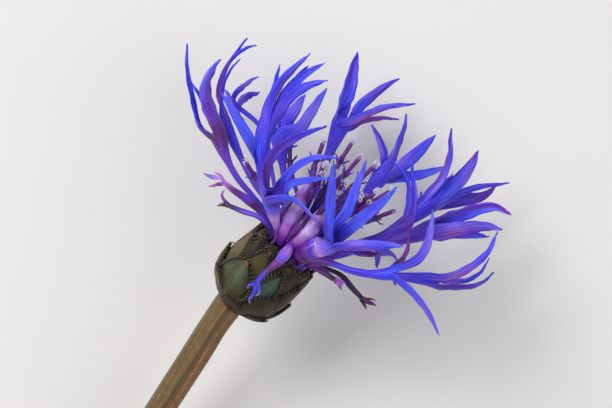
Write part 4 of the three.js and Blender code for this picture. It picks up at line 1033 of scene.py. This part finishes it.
def scale_sheet(bract, long, draw):
    """A bract: a panel with a streaky grey layer, partly waxy bloom and partly painted sheen on its crown,
    that fades from its middle by a power of the distance to its edge, a dark margin of even width, and in
    some a pinkish spot under its tip."""
    u = np.linspace(0, 1, SCALE_ROWS)[:, None]
    v = np.linspace(-1, 1, SCALE_COLUMNS)[None, :]
    points = scale_place(bract, long, u, v)
    points[-1] = points[-1].mean(axis=0)
    look, bloom_and_sheen_share, blush = bract[3:]
    streak = 0.75 + 0.25 * np.cos(7 * v + 3 * u + 6 * draw.random())
    # Partly waxy bloom and partly painted sheen, thickest down the crowned middle of the bract.
    bloom_and_sheen_share = bloom_and_sheen_share * BLOOM_AND_SHEEN_MOST * streak * (1 - v * v) ** 2 * ease(u * 1.6)
    panel = mixed(gradient(look, u[:, 0])[:, None], tint("bloom"), bloom_and_sheen_share[..., None])
    from_edge = (1 - np.abs(v)) * np.radians(scale_half(bract, u)) * BUD_RADIUS
    margin = 1 - ease((np.minimum(from_edge, (1 - u) * long * 0.7) - MARGIN_WIDTH) / MARGIN_SOFT)
    spot = ease((u - 0.86) / 0.05) * (1 - ease((u - 0.96) / 0.03)) * ease((0.66 - np.abs(v)) / 0.3)
    tints = mixed(panel, tint("bark"), margin[..., None])
    tints = mixed(tints, tint("blush"), (spot * blush)[..., None])
    return grid(points, tints, v[0] * SCALE_HALF_WIDTH, u[:, 0] * long)


def comb_teeth(bract, long, draw):
    """Slim spikes along both edges of a bract, each with three corners at the edge and one out
    along the edge's own outward direction, swept towards the bract's tip."""
    u = np.tile(np.linspace(*TOOTH_ROOTS, TEETH_A_SIDE), 2)
    v = np.repeat([-1.0, 1.0], TEETH_A_SIDE)
    root = scale_place(bract, long, u, v)
    edge = unit(scale_place(bract, long, u + 0.01, v) - root)
    outward = across_to(unit(root - scale_place(bract, long, u, v * 0.92)), edge)
    up = np.cross(edge, outward) * np.sign(v)[:, None]
    up = up * np.sign(np.sum(up * (root - (root @ AXIS)[:, None] * AXIS), axis=1, keepdims=True))
    reach = sizes().tooth / MM * draw.uniform(0.75, 1.25, (len(u), 1)) * (0.7 + 0.45 * u[:, None])
    away, onward, lift = TOOTH_AIM
    tip = root + (away * outward + onward * edge + lift * up) * reach
    base = root - 0.15 * outward + 0.04 * up
    half = TOOTH_HALF * edge
    corners = np.stack([base - half, base + half, base + 0.14 * up, tip], axis=1)
    # Painted highlight: the teeth grow pale towards their ends, the more so on bracts with more bloom and
    # sheen.
    pale = gradient("bark tooth", np.array([0.45 + 0.55 * bract[4]]))[0]
    tints = np.stack([tint("bark"), tint("bark"), pale, pale])
    return corners, np.broadcast_to(tints, corners.shape[:2] + (4,))


# ---- Stem ----


def stem_way():
    """The stem's way, from inside the involucre's foot to its cut end."""
    return smooth_way([head_point(0, 0, BUD_BASE - SEAT), *STEM_WAY])


def stem_radius(share):
    """Tapers in a straight line, with a slight waist where it joins the involucre."""
    taper = STEM_TOP_RADIUS + (STEM_END_RADIUS - STEM_TOP_RADIUS) * share
    return taper - WAIST_DEPTH * np.exp(-((share - 0.07) / 0.05) ** 2)


def stem_sheet():
    """The stem's skin: rings along its way whose radius waves by ribs and finer grooves, with the
    first ring laid flat on the foot of the involucre, and both ends closed."""
    shares = np.linspace(0, 1, STEM_ROWS)
    way = places(stem_way(), shares)
    along, face = carried(way, UP)
    angle = np.linspace(0, 2 * math.pi, STEM_SIDES + 1)
    ribs = RIB_RISE * np.cos(STEM_RIBS * angle) + GROOVE_RISE * np.cos(3 * STEM_RIBS * angle + 1)
    drift = STEM_DRIFT * np.sin(9 * shares)[:, None] * np.cos(2 * angle)[None]
    radius = stem_radius(shares)[:, None] + ribs[None] + drift
    points = way[:, None] + radius[..., None] * around(along, face, angle)
    flat = points[0] - way[0]
    points[0] = way[0] + flat - (flat @ AXIS)[:, None] * AXIS
    first = np.broadcast_to(way[0], points[:1].shape)
    cut = [way[-1] + (points[-1] - way[-1]) * part - sunk * along[-1] for part, sunk, _ in STEM_CUT]
    points = np.concatenate([first, points, cut])
    # Streaks and painted light: tints set by the side of the stem, the tan edge being a painted highlight.
    streaks = mixed(tint("stem"), gradient(STEM_STREAK_AND_SIDE_LIGHT, (1 + np.sin(angle)) / 2), STEM_SHADE)
    tints = np.tile(streaks, (len(points), 1, 1))
    tints[-len(cut):] = tint("pith")
    run = lengths(way)
    distance = np.concatenate([[0], run, run[-1] + np.array(STEM_CUT)[:, 2]])
    return grid(points, tints, angle * STEM_TOP_RADIUS, distance)


def stem_hairs(draw):
    """Short hairs all over the stem: three-sided spikes set at random round it and along it, bent
    a little towards the head."""
    count = sizes().hairs
    share = draw.uniform(0.01, 0.985, count)
    angle = draw.uniform(0, 2 * math.pi, count)
    way = places(stem_way(), np.sort(share))
    along, face = carried(way, UP)
    out = turned(along, face, angle)
    radius = stem_radius(np.sort(share)) + RIB_RISE * np.cos(STEM_RIBS * angle)
    root = way + out * (radius - HAIR_SINK)[:, None]
    aim = unit(out - along * draw.uniform(-0.2, 0.9, (count, 1)) + 0.3 * draw.normal(size=(count, 3)))
    tip = root + aim * draw.uniform(0.35, 0.95, (count, 1))
    across = unit(np.cross(aim, out + 0.01))
    other = np.cross(aim, across)
    corners = (0, 2.09, 4.19)  # thirds of a turn, in radians
    base = [root + HAIR_RADIUS * (math.cos(k) * across + math.sin(k) * other) for k in corners]
    tints = np.tile(tint("hair"), (count, 1)) * draw.uniform(0.7, 1, (count, 1))
    return copies_mesh("stem_hairs", np.stack([*base, tip], axis=1), SPIKE_FACES, tints)


# ---- Finishes ----

WHITE = (1, 1, 1, 1)
RIDGE_HIGHLIGHT_TINT = (0.68, 0.64, 1, 1)  # painted highlight: light that the ridges between the furrows take on
# Values of a noise over which a furrow deepens, a ridge lightens and a blotch darkens.
FURROW_EDGES = {"From Min": 0.36, "From Max": 0.66}
RIDGE_EDGES = {"From Min": 0.5, "From Max": 0.3}
BLOTCH_EDGES = {"From Min": 0.4, "From Max": 0.68}


def add(tree, kind, given=None, **settings):
    """The outputs of a new node of a tree, which gets its settings, and in each of the inputs that
    given names a value, or a link from another node's output."""
    made = tree.nodes.new(f"ShaderNode{kind}")
    for name, value in settings.items():
        setattr(made, name, value)
    for name, value in (given or {}).items():
        if isinstance(value, bpy.types.NodeSocket):
            tree.links.new(value, made.inputs[name])
        else:
            made.inputs[name].default_value = value
    return made.outputs


def effect_group(name, **inputs):
    """A node group that takes named numbers and colours, each with its default, and puts out a
    tint and a mask. Gives the group, its inputs and a function that links its two outputs."""
    group = bpy.data.node_groups.new(name, "ShaderNodeTree")
    for label, default in inputs.items():
        kind = "NodeSocketFloat" if isinstance(default, float) else "NodeSocketColor"
        socket = group.interface.new_socket(label, in_out="INPUT", socket_type=kind)
        socket.default_value = default
    group.interface.new_socket("Tint", in_out="OUTPUT", socket_type="NodeSocketColor")
    group.interface.new_socket("Mask", in_out="OUTPUT", socket_type="NodeSocketFloat")
    ends = group.nodes.new("NodeGroupOutput").inputs

    def put(shade, mask):
        """Links the group's two outputs and gives the group."""
        group.links.new(shade, ends["Tint"])
        group.links.new(mask, ends["Mask"])
        return group

    return group, group.nodes.new("NodeGroupInput").outputs, put


def soft_mask(tree, noise, edges):
    """A noise made a mask that rises smoothly from 0 to 1 between its edges."""
    return add(tree, "MapRange", {"Value": noise, **edges}, interpolation_type="SMOOTHSTEP")["Result"]


def lengthwise_fibres():
    """Fine lines that run along a piece: noise squeezed across its width and drawn out along its length,
    put out as a mask and as a colour dimmed in its furrows and lightened on its ridges by a painted
    highlight."""
    group, given, put = effect_group(
        "lengthwise_fibres", Tint=WHITE, Lines=6.0, Drift=0.25, Dimming=0.3, Glow=0.0, Loss=WHITE
    )
    place = add(group, "UVMap", uv_map="pattern")["UV"]
    scale = add(group, "CombineXYZ", {"X": given["Lines"], "Y": given["Drift"], "Z": 1})["Vector"]
    place = add(group, "VectorMath", {0: place, 1: scale}, operation="MULTIPLY")["Vector"]
    noise = add(group, "TexNoise", {"Vector": place, "Scale": 1, "Detail": 3, "Roughness": 0.6})["Fac"]
    mask = soft_mask(group, noise, FURROW_EDGES)
    dim = add(group, "Math", {0: mask, 1: given["Dimming"]}, operation="MULTIPLY")["Value"]
    loss = add(group, "VectorMath", {0: given["Loss"], "Scale": dim}, operation="SCALE")["Vector"]
    keep = add(group, "VectorMath", {0: (1, 1, 1), 1: loss}, operation="SUBTRACT")["Vector"]
    shade = add(group, "VectorMath", {0: given["Tint"], 1: keep}, operation="MULTIPLY")["Vector"]
    ridge = add(group, "MapRange", {"Value": noise, **RIDGE_EDGES})["Result"]
    glow = add(group, "Math", {0: ridge, 1: given["Glow"]}, operation="MULTIPLY")["Value"]
    return put(add(group, "Mix", {"Factor": glow, 6: shade, 7: RIDGE_HIGHLIGHT_TINT}, data_type="RGBA")[2], mask)


def soft_mottle():
    """Soft blotches through the piece: one noise shifts a colour towards another, and is put out
    as a mask."""
    group, given, put = effect_group("soft_mottle", Tint=WHITE, Other=WHITE, Scale=300.0, Amount=0.3)
    place = add(group, "TexCoord")["Object"]
    cloud = {"Vector": place, "Scale": given["Scale"], "Detail": 4, "Roughness": 0.55}
    noise = add(group, "TexNoise", cloud)["Fac"]
    mask = soft_mask(group, noise, BLOTCH_EDGES)
    amount = add(group, "Math", {0: mask, 1: given["Amount"]}, operation="MULTIPLY")["Value"]
    mix = {"Factor": amount, 6: given["Tint"], 7: given["Other"]}
    return put(add(group, "Mix", mix, data_type="RGBA")[2], mask)


def effect(tree, make, **given):
    """The outputs of a shared effect's group, placed in a material with its own values."""
    group = bpy.data.node_groups.get(make.__name__) or make()
    return add(tree, "Group", given, node_tree=group)


def finish_of(
    name, other, lines, dimming, scale, amount, roughness, relief=0.00004, drift=0.25, glow=0,
    loss=WHITE, shine=None
):
    """A material: the piece's tint, dimmed along fine fibres and mottled with another colour, with
    the fibres raised a little and the roughness following them."""
    material = bpy.data.materials.new(name)
    material.use_nodes = True
    tree = material.node_tree
    tree.nodes.clear()
    own = add(tree, "Attribute", attribute_name="tint", attribute_type="GEOMETRY")["Color"]
    fibres = effect(
        tree, lengthwise_fibres, Tint=own, Lines=lines, Drift=drift, Dimming=dimming, Glow=glow, Loss=loss
    )
    mottle = effect(tree, soft_mottle, Tint=fibres["Tint"], Other=tint(other), Scale=scale, Amount=amount)
    mask = fibres["Mask"]
    rough = add(tree, "MapRange", {"Value": mask, "To Min": roughness - 0.07, "To Max": roughness + 0.1})
    bump = add(tree, "Bump", {"Height": mask, "Strength": 0.6, "Distance": relief})
    fed = {"Base Color": mottle["Tint"], "Roughness": rough["Result"], "Normal": bump["Normal"]}
    surface = add(tree, "BsdfPrincipled", {**fed, **(shine or {})})
    add(tree, "OutputMaterial", {"Surface": surface["BSDF"]})
    return material


PETAL_SHINE = {"Sheen Weight": 0.06, "Sheen Roughness": 0.4, "Specular IOR Level": 0.32}
PETAL_LOSS = (0.35, 1, 0.62, 1)  # how much of red, green and blue a petal's furrows lose


def petal_finish(name, veins=0.55):
    """Thin satin petal: fine lengthwise veins over a tint that drifts towards violet."""
    return finish_of(
        name, "mauve", lines=4.5, dimming=veins, scale=190, amount=0.15, roughness=0.46, drift=0.12,
        glow=0.18, loss=PETAL_LOSS, shine=PETAL_SHINE,
    )


def floor_finish():
    """Smooth pale paper with the faintest unevenness."""
    material = bpy.data.materials.new("floor_paper")
    material.use_nodes = True
    tree = material.node_tree
    place = add(tree, "TexCoord")["Object"]
    noise = add(tree, "TexNoise", {"Vector": place, "Scale": 18, "Detail": 2})["Fac"]
    shaded = tint("floor") * np.array([0.97, 0.97, 0.97, 1])
    mix = add(tree, "Mix", {"Factor": noise, 6: tint("floor"), 7: shaded}, data_type="RGBA")
    surface = tree.nodes["Principled BSDF"].inputs
    surface["Roughness"].default_value = 0.9
    tree.links.new(mix[2], surface["Base Color"])
    return material


# ---- Operators ----


def draws(step):
    """Random draws that are the same each run, a fresh set for each step of the work."""
    return np.random.default_rng(sizes().seed + step)


class CORNFLOWER_OT_ray_florets(bpy.types.Operator):
    """Makes the large florets of the ring, tube and lobes in one skin each"""

    bl_idname = "cornflower.ray_florets"
    bl_label = "Ray florets"

    def execute(self, context):
        finish = petal_finish("ray_petal_skin")
        make_florets(RAY_FLORETS, "ray_floret", finish, sizes().petal, draws(1))
        return {"FINISHED"}


class CORNFLOWER_OT_bent_florets(bpy.types.Operator):
    """Makes the florets that have bent out over the rim of the involucre"""

    bl_idname = "cornflower.bent_florets"
    bl_label = "Bent florets"

    def execute(self, context):
        finish = petal_finish("bent_petal_skin", veins=0.8)
        thickness = sizes().petal * BENT_THINNER
        make_florets(BENT_FLORETS, "bent_floret", finish, thickness, draws(2))
        return {"FINISHED"}


class CORNFLOWER_OT_disc_florets(bpy.types.Operator):
    """Makes the florets of the disc, the pale tubes round their feet, their anther columns and
    the pollen on them"""

    bl_idname = "cornflower.disc_florets"
    bl_label = "Disc florets"

    def execute(self, context):
        draw = draws(3)
        sheets, ways, ends = [], [], []
        for foot, end, full in disc_places(draw):
            parts, way = disc_floret(foot, end, draw)
            sheets += parts
            ways.append(way)
            ends.append((end, unit(end - foot), int(POLLEN_HEAP * full)))
        finish = petal_finish("disc_petal_skin")
        thickness = sizes().petal * DISC_THINNER
        piece(sheet_mesh("disc_tubes", sheets), finish, ["disc_florets"], thickness)
        neck = finish_of("neck_skin", "magenta", 2.2, 0.3, 520, 0.62, roughness=0.34, drift=0.3)
        piece(sheet_mesh("neck_tubes", neck_tubes(draw)), neck)
        anther = finish_of("anther_skin", "magenta", 4, 0.45, 1500, 0.3, roughness=0.5, drift=1.5)
        piece(sheet_mesh("anther_columns", anther_columns(ways)), anther)
        grains = finish_of("pollen_grain", "lilac", 1, 0.1, 2500, 0.35, roughness=0.85)
        piece(pollen_grains(ends, draw), grains)
        return {"FINISHED"}


class CORNFLOWER_OT_involucre(bpy.types.Operator):
    """Makes the involucre: its body, its overlapping bracts and the combs on their edges"""

    bl_idname = "cornflower.involucre"
    bl_label = "Involucre"

    def execute(self, context):
        draw = draws(4)
        scales, teeth = [], []
        for long, bracts in BRACT_ROWS:
            for bract in bracts:
                scales.append(scale_sheet(bract, long, draw))
                teeth.append(comb_teeth(bract, long, draw))
        finish = finish_of(
            "bract_skin", "umber", 2.6, 0.36, 420, 0.35, roughness=0.46, relief=0.00008, drift=0.35,
            shine={"Specular IOR Level": 0.28},
        )
        body = finish_of("bud_skin", "bark", 2, 0.3, 300, 0.5, roughness=0.6)
        fringe = finish_of("comb_tooth", "blush", 1, 0.1, 900, 0.25, roughness=0.5)
        piece(sheet_mesh("bud_body", [bud_sheet()]), body, ["involucre"])
        piece(sheet_mesh("bract_scales", scales), finish, (), sizes().bract)
        corners, tints = (np.vstack(parts) for parts in zip(*teeth))
        piece(copies_mesh("bract_combs", corners, SPIKE_FACES, tints), fringe)
        return {"FINISHED"}


class CORNFLOWER_OT_stem(bpy.types.Operator):
    """Makes the ribbed stem and its short hairs"""

    bl_idname = "cornflower.stem"
    bl_label = "Stem"

    def execute(self, context):
        draw = draws(5)
        skin = finish_of(
            "stem_skin", "stem_dark", 2.4, 0.4, 800, 0.45, roughness=0.62, relief=0.00012, drift=0.06
        )
        piece(sheet_mesh("stem_skin", [stem_sheet()]), skin, ["stem"])
        down = finish_of("hair", "pith", 1, 0.05, 900, 0.2, roughness=0.5)
        piece(stem_hairs(draw), down)
        return {"FINISHED"}


class CORNFLOWER_OT_stage(bpy.types.Operator):
    """Sets the floor, the soft lights and the camera that looks straight down on the flower"""

    bl_idname = "cornflower.stage"
    bl_label = "Stage"

    def execute(self, context):
        scene = context.scene
        link = scene.collection.objects.link
        floor = bpy.data.meshes.new("floor")
        half = FLOOR_WIDTH / 2
        corners = [(-half, -half, 0), (half, -half, 0), (half, half, 0), (-half, half, 0)]
        floor.from_pydata(corners, [], [(0, 1, 2, 3)])
        floor.materials.append(floor_finish())
        ground = bpy.data.objects.new("floor", floor)
        link(ground)
        right = Vector((math.cos(VIEW_TURN), math.sin(VIEW_TURN), 0))
        upward = Vector((-right.y, right.x, 0))
        centre = Vector((*VIEW_CENTRE, MOUTH[2])) * MM
        for name, (across, along, above, width, power) in LIGHTS.items():
            light = bpy.data.lights.new(name, "AREA")
            light.size = width
            light.energy = power
            lamp = bpy.data.objects.new(name, light)
            lamp.location = centre + right * across + upward * along + Vector((0, 0, above))
            lamp.rotation_euler = (lamp.location - centre).to_track_quat("Z", "Y").to_euler()
            link(lamp)
        scene.world = bpy.data.worlds.new("room")
        scene.world.use_nodes = True
        sky = scene.world.node_tree.nodes["Background"].inputs
        sky["Color"].default_value = WHITE
        sky["Strength"].default_value = ROOM_LIGHT
        lens = bpy.data.cameras.new("camera")
        lens.sensor_width = SENSOR
        lens.lens = sizes().lens
        lens.clip_start = 0.01
        lens.clip_end = 10
        camera = bpy.data.objects.new("camera", lens)
        camera.location = centre + Vector((0, 0, sizes().view_width * sizes().lens / SENSOR))
        camera.rotation_euler = (0, 0, VIEW_TURN)
        link(camera)
        scene.camera = camera
        scene.view_settings.view_transform = "Standard"
        return {"FINISHED"}


STEPS = ("ray_florets", "bent_florets", "disc_florets", "involucre", "stem", "stage")


class CORNFLOWER_PT_panel(bpy.types.Panel):
    bl_label = "Mountain cornflower"
    bl_idname = "CORNFLOWER_PT_panel"
    bl_space_type = "VIEW_3D"
    bl_region_type = "UI"
    bl_category = "Cornflower"

    def draw(self, context):
        for group in (sizes(), paints()):
            column = self.layout.column(align=True)
            for name in group.bl_rna.properties.keys():
                if name not in ("rna_type", "name"):
                    column.prop(group, name)
        for step in STEPS:
            self.layout.operator(f"cornflower.{step}")


CLASSES = (
    CornflowerPaints,
    CornflowerSizes,
    CORNFLOWER_OT_ray_florets,
    CORNFLOWER_OT_bent_florets,
    CORNFLOWER_OT_disc_florets,
    CORNFLOWER_OT_involucre,
    CORNFLOWER_OT_stem,
    CORNFLOWER_OT_stage,
    CORNFLOWER_PT_panel,
)


def register():
    for kind in CLASSES:
        bpy.utils.register_class(kind)
    bpy.types.Scene.cornflower_paints = PointerProperty(type=CornflowerPaints)
    bpy.types.Scene.cornflower_sizes = PointerProperty(type=CornflowerSizes)


def unregister():
    del bpy.types.Scene.cornflower_sizes
    del bpy.types.Scene.cornflower_paints
    for kind in reversed(CLASSES):
        bpy.utils.unregister_class(kind)


def main():
    register()
    for step in STEPS:
        getattr(bpy.ops.cornflower, step)()


if __name__ == "__main__":
    main()
